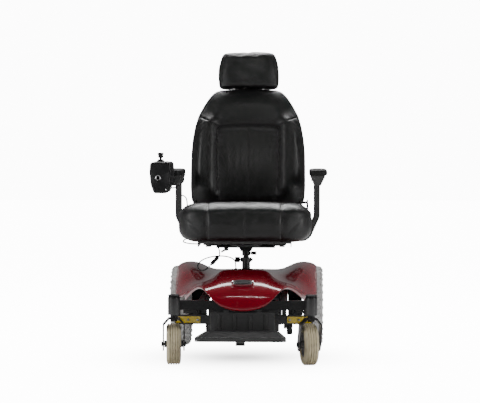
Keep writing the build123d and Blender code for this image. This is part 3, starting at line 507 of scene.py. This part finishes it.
def make_lead(name, route, body, node, blend=None, **facts):
    """A lead on its smooth line. Where it crosses a joint, it is turned into a mesh left where it lies, riding on
    no body.
    """
    curve = lead_curve(name, route)
    length, line = spline_length(curve)
    curve.bevel_depth = LEAD_D / 2
    curve.bevel_resolution = 4
    curve.use_fill_caps = True
    curve.materials.append(LOOKS["lead"])
    made = bpy.data.objects.new(name, curve)
    if blend:
        mesh = bpy.data.meshes.new_from_object(made)
        bpy.data.objects.remove(made)
        made = bpy.data.objects.new(name, mesh)
        mesh.shade_smooth()
        facts["path"] = [tuple(point) for point in line]
    bpy.context.scene.collection.objects.link(made)
    if blend:
        first, second, start, end = blend
        tuple(at(*start))
        tuple(at(*end))
        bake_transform(made)
    else:
        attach(made, body)
    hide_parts(node)
    tuple(at(*route[-1 if node == "base_lead" else 0]))


def make_leads():
    connector = make_connector()
    make_lead("seat_lead_sheath", SEAT_ROUTE, "seat", "seat_lead", far_end="object", lay="hanging",
              blend=("seat", "arm_post_right", SEAT_ROUTE[4], SEAT_ROUTE[0]))
    make_lead("arm_lead_sheath", ARM_ROUTE, "arm_right", "arm_lead", far_end="object", lay="taut",
              blend=("arm_right", "controller", ARM_ROUTE[4], ARM_ROUTE[0]))
    make_lead("drop_lead_sheath", DROP_ROUTE, "base", "drop_lead", far_end="connector", lay="hanging",
              with_pieces=[connector], blend=("base", "mast", DROP_ROUTE[-1], DROP_ROUTE[0]))
    make_lead("base_lead_sheath", BASE_ROUTE, "base", "base_lead", far_end="connector", lay="loose",
              with_pieces=[connector])


def make_connector():
    start, end = at(*CONNECTOR[0]), at(*CONNECTOR[1])
    axis = end - start
    long = axis.length
    profile = [(0.0, 0.0), (0.0035, 0.0), (0.0042, 0.006), (0.0068, 0.008), (0.0078, 0.011), (0.0078, 0.021),
               (0.0066, 0.0225), (0.0066, 0.026), (0.0078, 0.0275), (0.0078, long - 0.012), (0.0068,
                                                                                             long - 0.009),
               (0.0042, long - 0.006), (0.0035, long), (0.0, long)]
    bm = bmesh.new()
    add_turned(bm, profile, start, axis.normalized(), 32)
    return piece("lead_connector", bm, "plastic", "base", ["inline_connector"])


# ---------------------------------------------------------------- shroud
# Each row is one line across the right half of the shell, from the mid-plane outwards, in chair millimetres.
SHELL_ROWS = [
    ("low edge", [(0, -450, 198), (44, -449, 203), (76, -446, 215), (100, -440, 234), (120, -430, 257),
                  (140, -405, 272), (165, -340, 275), (196, -250, 246), (224, -150, 208)]),
    ("lip", [(0, -457, 202), (46, -456, 207), (80, -453, 219), (105, -447, 238), (125, -437, 260),
             (143, -411, 277), (166, -345, 281), (199, -254, 251), (228, -154, 211)]),
    ("belly", [(0, -456, 232), (46, -455, 236), (84, -452, 243), (112, -445, 256), (131, -433, 270),
               (146, -405, 281), (168, -340, 284), (201, -250, 255), (229, -152, 214)]),
    ("face", [(0, -440, 284), (46, -438, 285), (86, -432, 284), (116, -420, 283), (136, -400, 285),
              (150, -372, 288), (170, -325, 286), (201, -243, 259), (230, -150, 218)]),
    ("brow", [(0, -352, 322), (46, -350, 322), (84, -346, 317), (108, -350, 305), (128, -352, 296),
              (146, -340, 292), (171, -310, 285), (201, -238, 261), (230, -148, 221)]),
    ("crest", [(0, -262, 337), (44, -262, 337), (83, -262, 336), (101, -275, 319), (117, -292, 306),
               (141, -312, 297), (172, -300, 289), (202, -232, 268), (231, -146, 228)]),
    ("step", [(0, -252, 333), (44, -252, 333), (88, -248, 329), (107, -262, 309), (123, -278, 296),
              (147, -296, 284), (178, -284, 276), (208, -222, 256), (238, -138, 219)]),
    ("deck", [(0, -180, 325), (44, -180, 325), (94, -176, 320), (118, -186, 304), (138, -200, 290),
              (162, -212, 281), (190, -200, 277), (222, -160, 259), (250, -104, 222)]),
    ("fender foot", [(0, -90, 317), (44, -90, 317), (98, -96, 312), (124, -110, 301), (150, -118, 293),
                     (178, -122, 289), (212, -110, 280), (246, -86, 258), (268, -52, 200)]),
    ("fender face", [(0, -10, 311), (44, -10, 311), (100, -14, 307), (128, -34, 302), (158, -50, 304),
                     (190, -58, 312),
                     (228, -52, 308), (260, -34, 282), (276, -16, 186)]),
    ("fender brow", [(0, 76, 306), (44, 76, 306), (102, 72, 303), (132, 56, 302), (160, 40, 314),
                     (194, 32, 328),
                     (234, 32, 326), (264, 32, 306), (277, 20, 262)]),
    ("fender top", [(0, 165, 303), (44, 165, 303), (104, 165, 301), (134, 165, 303), (162, 165, 318),
                    (196, 165, 337), (236, 165, 340), (266, 165, 334), (277, 165, 328)]),
    ("rear brow", [(0, 256, 300), (44, 256, 300), (104, 256, 298), (134, 258, 299), (162, 262, 308),
                   (196, 266, 322), (236, 266, 324), (264, 266, 314), (276, 266, 298)]),
    ("rear turn", [(0, 314, 288), (44, 314, 288), (104, 314, 286), (134, 316, 286), (162, 318, 288),
                   (196, 320, 292), (234, 316, 288), (262, 306, 278), (274, 300, 266)]),
    ("rear low", [(0, 330, 244), (44, 330, 244), (102, 330, 240), (134, 330, 238), (166, 330, 236),
                  (200, 330, 232), (234, 324, 228), (256, 316, 222), (270, 322, 214)])]
SHELL_WALL = 0.0035
CREASED_ROWS = {"crest": 0.9, "lip": 0.35}


def make_shroud():
    half = len(SHELL_ROWS[0][1])
    across = 2 * half - 1
    bm = bmesh.new()
    bmesh.ops.create_grid(bm, x_segments=across - 1, y_segments=len(SHELL_ROWS) - 1, size=1.0)
    verts = sorted(bm.verts, key=lambda vert: (round(vert.co.y, 4), round(vert.co.x, 4)))
    crease = bm.edges.layers.float.new("crease_edge")
    for row, (name, line) in enumerate(SHELL_ROWS):
        row_verts = verts[row * across:(row + 1) * across]
        for column, vert in enumerate(row_verts):
            step = column - (half - 1)
            x, y, z = line[abs(step)]
            vert.co = at(-x if step < 0 else x, y, z)
        for first, second in zip(row_verts, row_verts[1:]):
            edge = bm.edges.get((first, second))
            edge[crease] = CREASED_ROWS.get(name, 0.0)
    shell = piece("shroud_shell", bm, "shell", None, angle=180)
    wall = shell.modifiers.new("wall", "SOLIDIFY")
    wall.thickness = SHELL_WALL
    wall.offset = -1
    smooth = shell.modifiers.new("smooth", "SUBSURF")
    smooth.levels = smooth.render_levels = 3
    apply_modifiers(shell)
    shell.data.shade_smooth()
    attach(shell, "base")
    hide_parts("shroud")
    return shell


def make_badge():
    """A plain oval badge: a chrome rim round a dark centre, laid on the face of the nose."""
    centre = at(0, -424, 304)
    normal = Vector((0, -0.66, 0.75)).normalized()
    for name, grow, deep, look in (("badge_rim", 1.0, 0.004, "chrome"),
                                   ("badge_centre", 0.90, 0.0046, "plastic")):
        bm = bmesh.new()
        add_turned(bm, [(0.0, -0.012), (0.041 * grow, -0.012), (0.041 * grow, deep - 0.0012),
                        (0.0385 * grow, deep), (0.0, deep)], Vector((0, 0, 0)), (0, 0, 1), 96)
        bmesh.ops.scale(bm, vec=(1, 0.0085 / 0.041 * 1.12, 1), verts=bm.verts)
        turn = Vector((0, 0, 1)).rotation_difference(normal).to_matrix().to_4x4()
        bmesh.ops.transform(bm, matrix=Matrix.Translation(centre) @ turn, verts=bm.verts)
        piece(name, bm, look, "base", ["badge"])


def make_mast_boot():
    """A soft collar where the mast leaves the shell, and a grommet for the lead."""
    bm = bmesh.new()
    add_turned(bm, [(0.0163, 0.0), (0.025, 0.0), (0.024, 0.006), (0.0185, 0.009), (0.0163, 0.009)],
               at(0, 0, 310),
               (0, 0, 1), 48)
    add_turned(bm, [(0.0028, 0.0), (0.009, 0.0), (0.008, 0.004), (0.0045, 0.012), (0.0028, 0.012)],
               at(-38, -42, 312), (0, 0, 1), 32)
    piece("mast_boot", bm, "soft", "base")


# ---------------------------------------------------------------- soft goods
def table(rows, key):
    """Reads a value between the rows of (key, value), eased from one to the next."""
    if key <= rows[0][0]:
        return rows[0][1]
    for (low, first), (high, second) in zip(rows, rows[1:]):
        if key <= high:
            share = (key - low) / (high - low)
            return first + (second - first) * share
    return rows[-1][1]


def rounded(turn, half_a, half_b, power):
    """A point of a squared-off oval."""
    c, s = cos(turn), sin(turn)
    return (half_a * abs(c) ** (2 / power) * (1 if c >= 0 else -1),
            half_b * abs(s) ** (2 / power) * (1 if s >= 0 else -1))


def ease(low, high, value):
    share = min(1.0, max(0.0, (value - low) / (high - low)))
    return share * share * (3 - 2 * share)


def groove(distance, width):
    return exp(-(distance / width) ** 2)


def add_loft(bm, rings, steps, place):
    """A closed skin of rings, from place(turn, share), whose first and last rings shrink to a point."""
    made = bmesh.ops.create_grid(bm, x_segments=steps, y_segments=rings, size=0.5)["verts"]
    for vert in made:
        vert.co = place((vert.co.x + 0.5) * 2 * pi, vert.co.y + 0.5)
    bmesh.ops.remove_doubles(bm, verts=made, dist=1e-5)


def soft_piece(name, form, look, body, nodes, relief, cap, voxel=0.006, smoothing=6, pressure=4.0):
    """A stuffed cover: a slim form is remeshed and blown up as cloth, and its seams are drawn in last."""
    bm = bmesh.new()
    form(bm)
    made = piece(name, bm, look, None)
    remesh = made.modifiers.new("remesh", "REMESH")
    remesh.mode = "VOXEL"
    remesh.voxel_size = voxel
    apply_modifiers(made)
    start = [vert.co.copy() for vert in made.data.vertices]
    cloth = made.modifiers.new("cover", "CLOTH")
    cloth.settings.quality = 5
    cloth.settings.use_pressure = True
    cloth.settings.uniform_pressure_force = pressure
    cloth.settings.effector_weights.gravity = 0
    cloth.settings.tension_stiffness = 15
    cloth.settings.compression_stiffness = 15
    cloth.settings.bending_stiffness = 0.5
    cloth.point_cache.frame_start = 1
    cloth.point_cache.frame_end = 20
    for step in range(1, 21):
        bpy.context.scene.frame_set(step)
    apply_modifiers(made)
    bpy.context.scene.frame_set(1)
    for vert, home in zip(made.data.vertices, start):
        moved = vert.co - home
        if moved.length > cap:
            vert.co = home + moved * (cap / moved.length)
    bm = bmesh.new()
    bm.from_mesh(made.data)
    for _ in range(smoothing):
        bmesh.ops.smooth_vert(bm, verts=bm.verts, factor=0.5, use_axis_x=True, use_axis_y=True,
                              use_axis_z=True)
    bmesh.ops.subdivide_edges(bm, edges=bm.edges, cuts=1, use_grid_fill=True, smooth=0.6)
    bm.normal_update()
    moves = [(vert, vert.normal * relief(vert.co, vert.normal)) for vert in bm.verts]
    for vert, move in moves:
        vert.co += move
    bm.to_mesh(made.data)
    bm.free()
    made.data.shade_smooth()
    made.data.materials.clear()
    made.data.materials.append(LOOKS[look])
    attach(made, body)
    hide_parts(*nodes)
    return made


def chair(point):
    """A row point in the chair's millimetres."""
    return (point.x - MAST.x) / MM, (point.y - MAST.y) / MM, point.z / MM


# Seat cushion: half widths and half depths of its rings, by height.
SEAT_MIDDLE_Y = -28
SEAT_WIDE = [(439, 200), (441, 228), (448, 244), (462, 252), (485, 256), (530, 257), (546, 254), (558, 248),
             (568, 236), (573, 218), (575, 190), (575.5, 0)]
SEAT_DEEP = [(439, 184), (441, 198), (448, 205), (462, 208), (485, 209), (520, 209), (540, 208), (556, 203),
             (567, 188), (573, 172), (575, 140), (575.5, 0)]
SEAT_SEAM_X = 138


def seat_form(bm):
    heights = [439, 439.2, 440.4, 442, 446, 453, 463, 476, 492, 508, 524, 538, 549, 558, 566, 571, 574, 575,
               575.3,
               575.5]

    def place(turn, share):
        spot = share * (len(heights) - 1)
        index = min(int(spot), len(heights) - 2)
        z = heights[index] + (heights[index + 1] - heights[index]) * (spot - index)
        wide, deep = table(SEAT_WIDE, z), table(SEAT_DEEP, z)
        if z <= 439:
            wide = deep = 0
        x, y = rounded(turn, wide, deep, 5.5)
        lift = ease(480, 575, z)
        rear = (y + 200) / 400
        dish = -3 * ease(90, 230, abs(x)) + 3 * groove(x, 120) - 22 * rear
        return at(x, SEAT_MIDDLE_Y + y, z + lift * (dish + 1))
    add_loft(bm, 76, 140, place)


def seat_relief(point, normal):
    x, y, z = chair(point)
    low = 1 - ease(438, 452, z)
    seams = groove(abs(x) - SEAT_SEAM_X, 3.0) * 3.0 + groove(x, 2.6) * 1.5
    across = groove(y + 118, 3.0) * ease(0.4, 0.8, normal.z) * 2.0
    side = groove(abs(x) - 240, 2.6) * 2.2 * (1 - ease(0.5, 0.9, abs(normal.x)))
    piping = groove(abs(x) - 246, 2.4) * 2.0
    channel = (1 - groove(abs(x) - SEAT_SEAM_X, 16)) * 1.8
    front = max(0.0, -normal.y)
    pull = sin(z * 0.11 + 1.7 * sin(x * 0.021 + 0.6)) * exp(-abs(abs(x) - SEAT_SEAM_X) / 26) * 1.1 * front
    fold = groove((x - 196) * 0.72 - (z - 505) * 0.69, 7) * groove(x - 190, 42) * -2.6 * front
    fold += groove((x + 196) * 0.6 + (z - 500) * 0.8, 6) * groove(x + 200, 30) * -1.4 * front
    slack = sin(x * 0.035 + 2.0 * sin(y * 0.02)) * sin(y * 0.031 + 1.1) * 0.9
    return (piping + channel + pull + fold + slack - seams - across - side) * (1 - low) * MM


# The back leans on its hinge; its own frame is (across, behind, up) from the hinge axis.
BACK_LEAN = radians(12)
HINGE = (232, 565)
BACK_WIDE = [(-14, 0), (-12, 200), (-6, 222), (8, 232), (60, 236), (130, 236), (200, 235), (258, 230),
             (310, 221),
             (358, 207), (400, 185), (425, 169), (447, 152), (459, 138), (466, 118), (470, 0)]
BACK_DEPTH = [(-14, 0), (-12, 26), (-6, 34), (8, 40), (60, 44), (400, 44), (430, 42), (452, 36), (463, 26),
              (468, 14), (470, 0)]
BACK_MIDDLE = 8
INSERT = (122, 304, 16)             # half width, top and corner radius of the centre panel
YOKE = ((116, 300), (204, 350))


def leaned(across, behind, up):
    return at(across, HINGE[0] + behind * cos(BACK_LEAN) + up * sin(BACK_LEAN),
              HINGE[1] + up * cos(BACK_LEAN) - behind * sin(BACK_LEAN))


def unlean(point):
    x, y, z = chair(point)
    y, z = y - HINGE[0], z - HINGE[1]
    return x, y * cos(BACK_LEAN) - z * sin(BACK_LEAN), y * sin(BACK_LEAN) + z * cos(BACK_LEAN)


def insert_edge(x, up):
    """Distance outside the centre panel's edge, below nought inside it."""
    half, top, corner = INSERT
    top += 4 - 4 * (x / half) ** 2
    side = abs(x) - (half - 5 * ease(150, 0, up) - corner)
    over = up - (top - corner)
    return hypot(max(side, 0), max(over, 0)) + min(max(side, over), 0) - corner


def yoke_edge(x, up):
    (ax, au), (bx, bu) = YOKE
    share = ((abs(x) - ax) * (bx - ax) + (up - au) * (bu - au)) / ((bx - ax) ** 2 + (bu - au) ** 2)
    share = min(1.0, max(0.0, share))
    return hypot(abs(x) - ax - share * (bx - ax), up - au - share * (bu - au)), share


def front_swell(x, up):
    """How far the front stands towards the sitter, in millimetres."""
    beside = ease(112, 156, abs(x)) * (1 - 0.25 * ease(175, 232, abs(x))) * (1 - ease(300, 400,
                                                                                      up)) * ease(-10, 60, up)
    bolster = 24 * beside
    yoke = 6 * ease(296, 330, up) * (1 - ease(380, 470, up)) * (1 - ease(110, 200, abs(x)))
    lumbar = 6 * groove(up - 110, 80) * (1 - ease(80, 130, abs(x)))
    return bolster + yoke + lumbar - 10


def back_form(bm):
    levels = [-14, -13.5, -12.6, -10, -4, 6, 20, 34] + [34 + step * 14 for step in range(1, 29)] + \
             [436, 445, 453, 459, 463, 466, 468, 469.4, 470]

    def place(turn, share):
        spot = share * (len(levels) - 1)
        index = min(int(spot), len(levels) - 2)
        up = levels[index] + (levels[index + 1] - levels[index]) * (spot - index)
        x, behind = rounded(turn, table(BACK_WIDE, up), table(BACK_DEPTH, up), 3.2)
        if behind < 0:
            behind -= front_swell(x, up) * ease(0, 30, -behind)
        top = 4 * groove(x, 70) * ease(400, 470, up)
        return leaned(x, BACK_MIDDLE + behind, up + top)
    add_loft(bm, 150, 150, place)


def back_relief(point, normal):
    x, behind, up = unlean(point)
    facing = ease(0.1, 0.6, -normal.y)
    edge = insert_edge(x, up)
    gone, share = yoke_edge(x, up)
    seams = groove(edge, 3.2) * 4.2 * ease(12, 40, up)
    seams += groove(gone, 3.0) * 3.6 * (1 - ease(0.85, 1.0, share))
    inside = ease(0, -14, edge)
    pleats = (sin(x * 0.21) * 0.22 + sin(x * 0.47 + 1) * 0.12) * inside * ease(320, 180, up)
    centre = groove(x, 2.4) * 1.3 * inside
    crinkle = sin(up * 0.24 + 2.0 * sin(up * 0.05)) * exp(-abs(edge) / 15) * 0.7
    shoulder = sin((abs(x) + up) * 0.22) * ease(240, 330, up) * (1 - ease(330, 400, up)) * ease(150, 190,
                                                                                                abs(x)) * 0.9
    rim = groove(behind - 40, 3.0) * 1.6
    puff = ease(0, 22, abs(edge)) * 1.2
    return ((puff + pleats + crinkle + shoulder - seams - centre) * facing - rim) * MM


HEAD_WIDE = [(470, 0), (470.4, 106), (472.5, 116), (478, 121), (495, 124), (520, 125.5), (550, 123),
             (580, 117),
             (600, 112), (609, 108), (614, 103), (617, 92), (618, 0)]
HEAD_DEPTH = [(470, 0), (470.4, 26), (472.5, 31), (478, 34.5), (495, 36), (594, 36), (606, 33), (612, 28),
              (616, 19),
              (618, 0)]
HEAD_MIDDLE = 18


def head_form(bm):
    levels = [470, 470.2, 470.6, 472, 475, 480, 488] + [488 + step * 8 for step in range(1, 14)] + \
             [598, 603, 608, 611.5, 614, 616, 617.4, 618]

    def place(turn, share):
        spot = share * (len(levels) - 1)
        index = min(int(spot), len(levels) - 2)
        up = levels[index] + (levels[index + 1] - levels[index]) * (spot - index)
        x, behind = rounded(turn, table(HEAD_WIDE, up), table(HEAD_DEPTH, up), 4.5)
        if behind < 0:
            behind += 5 * (x / 125) ** 2
        return leaned(x, HEAD_MIDDLE + behind, up + 3 * (1 - (x / 125) ** 2) * ease(560, 617, up))
    add_loft(bm, 90, 110, place)


def head_relief(point, normal):
    x, behind, up = unlean(point)
    half = table(HEAD_WIDE, up)
    side = groove(abs(x) - (half - 9), 2.6) * 2.2 * ease(480, 500, up) * ease(0.05, 0.5, -normal.y)
    rim = groove(behind - (HEAD_MIDDLE + 20), 2.6) * 1.6
    slack = sin(up * 0.07 + 1.5 * sin(x * 0.03)) * 0.6
    return (slack - side - rim) * MM


def make_soft_goods():
    seat = soft_piece("seat_cover", seat_form, "vinyl", "seat", ["seat_cushion"],
                      seat_relief, 0.007)
    back = soft_piece("back_cover", back_form, "bolster", "back", ["back_cushion"],
                      back_relief, 0.006)
    head = soft_piece("headrest_cover", head_form, "vinyl", "headrest", ["headrest_pad"],
                      head_relief,
                      0.003, voxel=0.005, smoothing=3)


PAD_X = 278


def make_arm_pads():
    """Moulded pads: a crowned top over a straight skirt, rounded at both ends."""
    for name, side in (("right", -1), ("left", 1)):
        bm = bmesh.new()
        profile = [(680.4, 0), (680.4, 0.90), (681.2, 0.965), (683, 0.985), (690, 1.0), (696, 0.99),
                   (699.6, 0.95),
                   (701.4, 0.87), (702.4, 0.74), (703, 0.5), (703.2, 0)]

        def place(turn, share):
            spot = share * (len(profile) - 1)
            index = min(int(spot), len(profile) - 2)
            part = spot - index
            z = profile[index][0] + (profile[index + 1][0] - profile[index][0]) * part
            grow = profile[index][1] + (profile[index + 1][1] - profile[index][1]) * part
            x, y = rounded(turn, 35 * grow, 140 - 35 * (1 - grow), 5)
            return at(side * PAD_X + x, 60 + y, z)
        add_loft(bm, 40, 96, place)
        pad = piece("arm_pad_cover_" + name, bm, "soft", "arm_" + name, ["arm_pad_" + name],
                    angle=180)


# ---------------------------------------------------------------- tyres
def axle(joint):
    found = next(item for item in frame["joints"] if item["name"] == joint)
    return Vector(found["pos_m"]), Vector(found["axis"]).normalized()


def make_drive_tyres():
    """Pneumatic-style tyres: a round carcass, a centre rib and slanted lugs each side of it."""
    carcass = [(93.5, -27), (97, -32.5), (106, -36), (122, -37), (138, -36), (147, -33), (152, -27),
               (154.5, -18),
               (155, -8), (155, 8), (154.5, 18), (152, 27), (147, 33), (138, 36), (122, 37), (106, 36),
               (97, 32.5),
               (93.5, 27)]
    for name, side in (("right", -1), ("left", 1)):
        low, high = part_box("drive_tyre_" + name)
        centre = (Vector(low) + Vector(high)) / 2
        bm = bmesh.new()
        outline = [(radius * MM, along * MM) for radius, along in carcass]
        add_turned(bm, outline + [outline[0]], Vector((0, 0, 0)), (0, 0, 1), 96)
        for count in range(30):
            for half in (-1, 1):
                lug = bmesh.ops.create_cube(bm, size=1.0)["verts"]
                bmesh.ops.scale(bm, vec=(0.0062, 0.0125, 0.024), verts=lug)
                top = [vert for vert in lug if vert.co.x > 0]
                bmesh.ops.scale(bm, vec=(1, 0.72, 0.9), verts=top)
                turn = Matrix.Rotation(half * radians(24), 4, "X")
                place = Matrix.Translation((0.1545, 0, half * 0.0155))
                tilt = Matrix.Rotation(-half * radians(8), 4, "Y")
                spin = Matrix.Rotation(2 * pi * (count + (0.25 if half > 0 else -0.25)) / 30, 4, "Z")
                bmesh.ops.transform(bm, matrix=spin @ place @ tilt @ turn, verts=lug)
                shoulder = bmesh.ops.create_cube(bm, size=1.0)["verts"]
                bmesh.ops.scale(bm, vec=(0.014, 0.0105, 0.006), verts=shoulder)
                place = Matrix.Translation((0.1475, 0, half * 0.0318)) @ Matrix.Rotation(half * radians(38),
                                                                                         4, "Y")
                bmesh.ops.transform(bm, matrix=spin @ place, verts=shoulder)
        rib = [(0.1545, -0.0035), (0.1586, -0.003), (0.1586, 0.003), (0.1545, 0.0035), (0.1545, -0.0035)]
        add_turned(bm, rib, Vector((0, 0, 0)), (0, 0, 1), 96)
        bmesh.ops.transform(bm, matrix=Matrix.Translation(centre) @ Matrix.Rotation(pi / 2, 4, "Y"),
                            verts=bm.verts)
        piece("drive_tread_" + name, bm, "drive_rubber", "drive_wheel_" + name,
              ["drive_tyre_" + name], angle=35)


def make_caster_tyres():
    """Solid tyres with round shoulders and four grooves."""
    profile = []
    for groove_at in (-13.5, -4.5, 4.5, 13.5):
        profile += [(groove_at - 2.2, 75.8), (groove_at - 1.3, 72.2), (groove_at + 1.3, 72.2),
                    (groove_at + 2.2, 75.8)]
    outline = [(-20, 46.4), (-24.5, 48), (-26, 52), (-26, 62), (-25, 68), (-22, 72.6),
               (-18, 75)] + profile + \
              [(18, 75), (22, 72.6), (25, 68), (26, 62), (26, 52), (24.5, 48), (20, 46.4), (-20, 46.4)]
    for name in ("right", "left"):
        centre, axis = axle("caster_roll_" + name)
        bm = bmesh.new()
        add_turned(bm, [(radius * MM, along * MM) for along, radius in outline], centre, axis, 96)
        piece("caster_tread_" + name, bm, "caster_rubber", "caster_wheel_" + name,
              ["caster_tyre_" + name], angle=38)
        bm = bmesh.new()
        disc = [(5.4, -23), (14, -23), (16, -19), (36, -16), (40, -20), (45.6, -21), (45.6, 21), (40, 20),
                (36, 16),
                (16, 19), (14, 23), (5.4, 23), (5.4, -23)]
        add_turned(bm, [(radius * MM, along * MM) for radius, along in disc], centre, axis, 72)
        for end in (-1, 1):
            hub = [(5.4, 23 * end), (12.5, 23 * end), (12.5, 34 * end), (5.4, 34 * end), (5.4, 23 * end)]
            add_turned(bm, [(radius * MM, along * MM) for radius, along in hub], centre, axis, 40)
        piece("caster_hub_" + name, bm, "wheel", "caster_wheel_" + name, ["caster_rim_" + name])


# ---------------------------------------------------------------- controller
STICK = (-314, -200)


def make_controller_parts():
    bm = bmesh.new()
    bellows = [(0.0, 744.6), (9.6, 744.6), (10.8, 743.6), (10.2, 742.4), (12.6, 741.4), (12.0, 740.2),
               (14.8, 739.2),
               (14.2, 738.0), (17.2, 737.0), (18.6, 736.4), (19.4, 735.4), (0.0, 735.4)]
    add_turned(bm, [(radius * MM, (height - 735) * MM) for radius, height in bellows], at(*STICK, 735),
               (0, 0, 1), 56)
    piece("stick_bellows", bm, "soft", "controller", ["joystick_boot"], angle=30)
    bm = bmesh.new()
    knob = [(0.0, -22), (4.6, -22), (4.6, -17), (8.6, -15.5), (10.4, -12), (10.0, -8), (10.2, -6),
            (11.6, -4.0),
            (11.9, -1.6), (11.4, 0.8), (9.4, 2.5), (6.0, 3.3), (0.0, 3.5)]
    add_turned(bm, [(radius * MM, along * MM) for radius, along in knob], at(*STICK, 766.6), (0, 0, 1), 48)
    add_turned(bm, [(0.0, 0.0), (0.003, 0.0), (0.003, 0.03), (0.0, 0.03)], at(*STICK, 722), (0, 0, 1), 20)
    piece("stick_knob", bm, "plastic", "joystick", ["joystick"], angle=50)
    bm = bmesh.new()
    add_turned(bm, [(7.6 * MM, -0.002), (10.2 * MM, -0.002), (10.2 * MM, 0.0018), (9.2 * MM, 0.0026),
                    (7.6 * MM, 0.0016), (7.6 * MM, -0.002)], at(-321, -245.2, 677), (0, -1, 0), 40)
    piece("charger_ring", bm, "steel", "controller")
    bm = bmesh.new()
    for spot in ((-338, 632), (-290, 632)):
        add_turned(bm, [(0.0, -0.001), (0.0032, -0.001), (0.0032, 0.0008), (0.0024, 0.0014), (0.0, 0.0014)],
                   at(spot[0], -245.2, spot[1]), (0, -1, 0), 20)
    piece("housing_screws", bm, "steel", "controller")


# ---------------------------------------------------------------- footplate and small hardware
def make_footplate_grip():
    bm = bmesh.new()
    for step in range(11):
        y = -676 + step * 16.5
        half = 146 - 25 * step / 11
        add_box(bm, at(-half, y - 2.2, 134.6), at(half, y + 2.2, 137.2), 0.0009, 2)
    piece("footplate_ribs", bm, "soft", "footplate")
    bm = bmesh.new()
    add_box(bm, at(-158, -694.6, 132), at(158, -690.6, 136.4), 0.0016, 3)
    piece("footplate_trim", bm, "paint", "footplate")
    bm = bmesh.new()
    add_box(bm, at(-16, -698, 108), at(16, -676, 121), 0.003, 3)
    piece("footplate_stop", bm, "soft", "footplate")


def make_apron():
    """The black plate that closes the front of the frame above the footplate hinge."""
    bm = bmesh.new()
    add_box(bm, at(-117, -447, 106), at(117, -443, 196), 0.0018, 2)
    for x in (-84, -28, 28, 84):
        add_box(bm, at(x - 5, -450, 112), at(x + 5, -446, 190), 0.0018, 2)
    add_box(bm, at(-131, -300, 112), at(131, -292, 200), 0.0018, 2)
    piece("frame_apron", bm, "paint", "base")
    bm = bmesh.new()
    for x in (-100, -44, 44, 100):
        add_turned(bm, [(0.0, -0.002), (0.0055, -0.002), (0.0055, 0.0018), (0.004, 0.0032), (0.0, 0.0032)],
                   at(x, -447.4, 116), (0, -1, 0), 6)
    piece("apron_bolts", bm, "steel", "base")


def make_screws():
    bm = bmesh.new()
    for side in (-1, 1):
        for x in (170, 205, 240):
            add_turned(bm, [(0.0, -0.002), (0.0042, -0.002), (0.0042, 0.0012), (0.003, 0.0026),
                            (0.0, 0.0026)],
                       at(side * x, -310, 155), (0, -1, 0), 18)
        for x in (16, 60):
            add_turned(bm, [(0.0, -0.003), (0.0065, -0.003), (0.0065, 0.002), (0.0045, 0.004), (0.0, 0.004)],
                       at(side * x, -306, 145), (0, -1, 0), 6)
    piece("bar_screws", bm, "steel", "base")
    bm = bmesh.new()
    for side in (-1, 1):
        add_turned(bm, [(0.0, 0.0), (0.0218, 0.0), (0.0218, 0.0025), (0.0206, 0.004), (0.0, 0.0044)],
                   at(side * 248, -440, 256.5), (0, 0, 1), 48)
    piece("swivel_caps", bm, "plastic", "base")


def make_floor():
    bm = bmesh.new()
    bmesh.ops.create_grid(bm, x_segments=8, y_segments=8, size=14.0)
    mesh = bpy.data.meshes.new("floor")
    bm.to_mesh(mesh)
    bm.free()
    mesh.materials.append(LOOKS["floor"])
    floor = bpy.data.objects.new("floor", mesh)
    bpy.context.scene.collection.objects.link(floor)


make_camera()
make_leads()
make_lights()
make_floor()
finish_cad_nodes()
make_shroud()
make_badge()
make_mast_boot()
make_soft_goods()
make_arm_pads()
make_drive_tyres()
make_caster_tyres()
make_controller_parts()
make_footplate_grip()
make_apron()
make_screws()
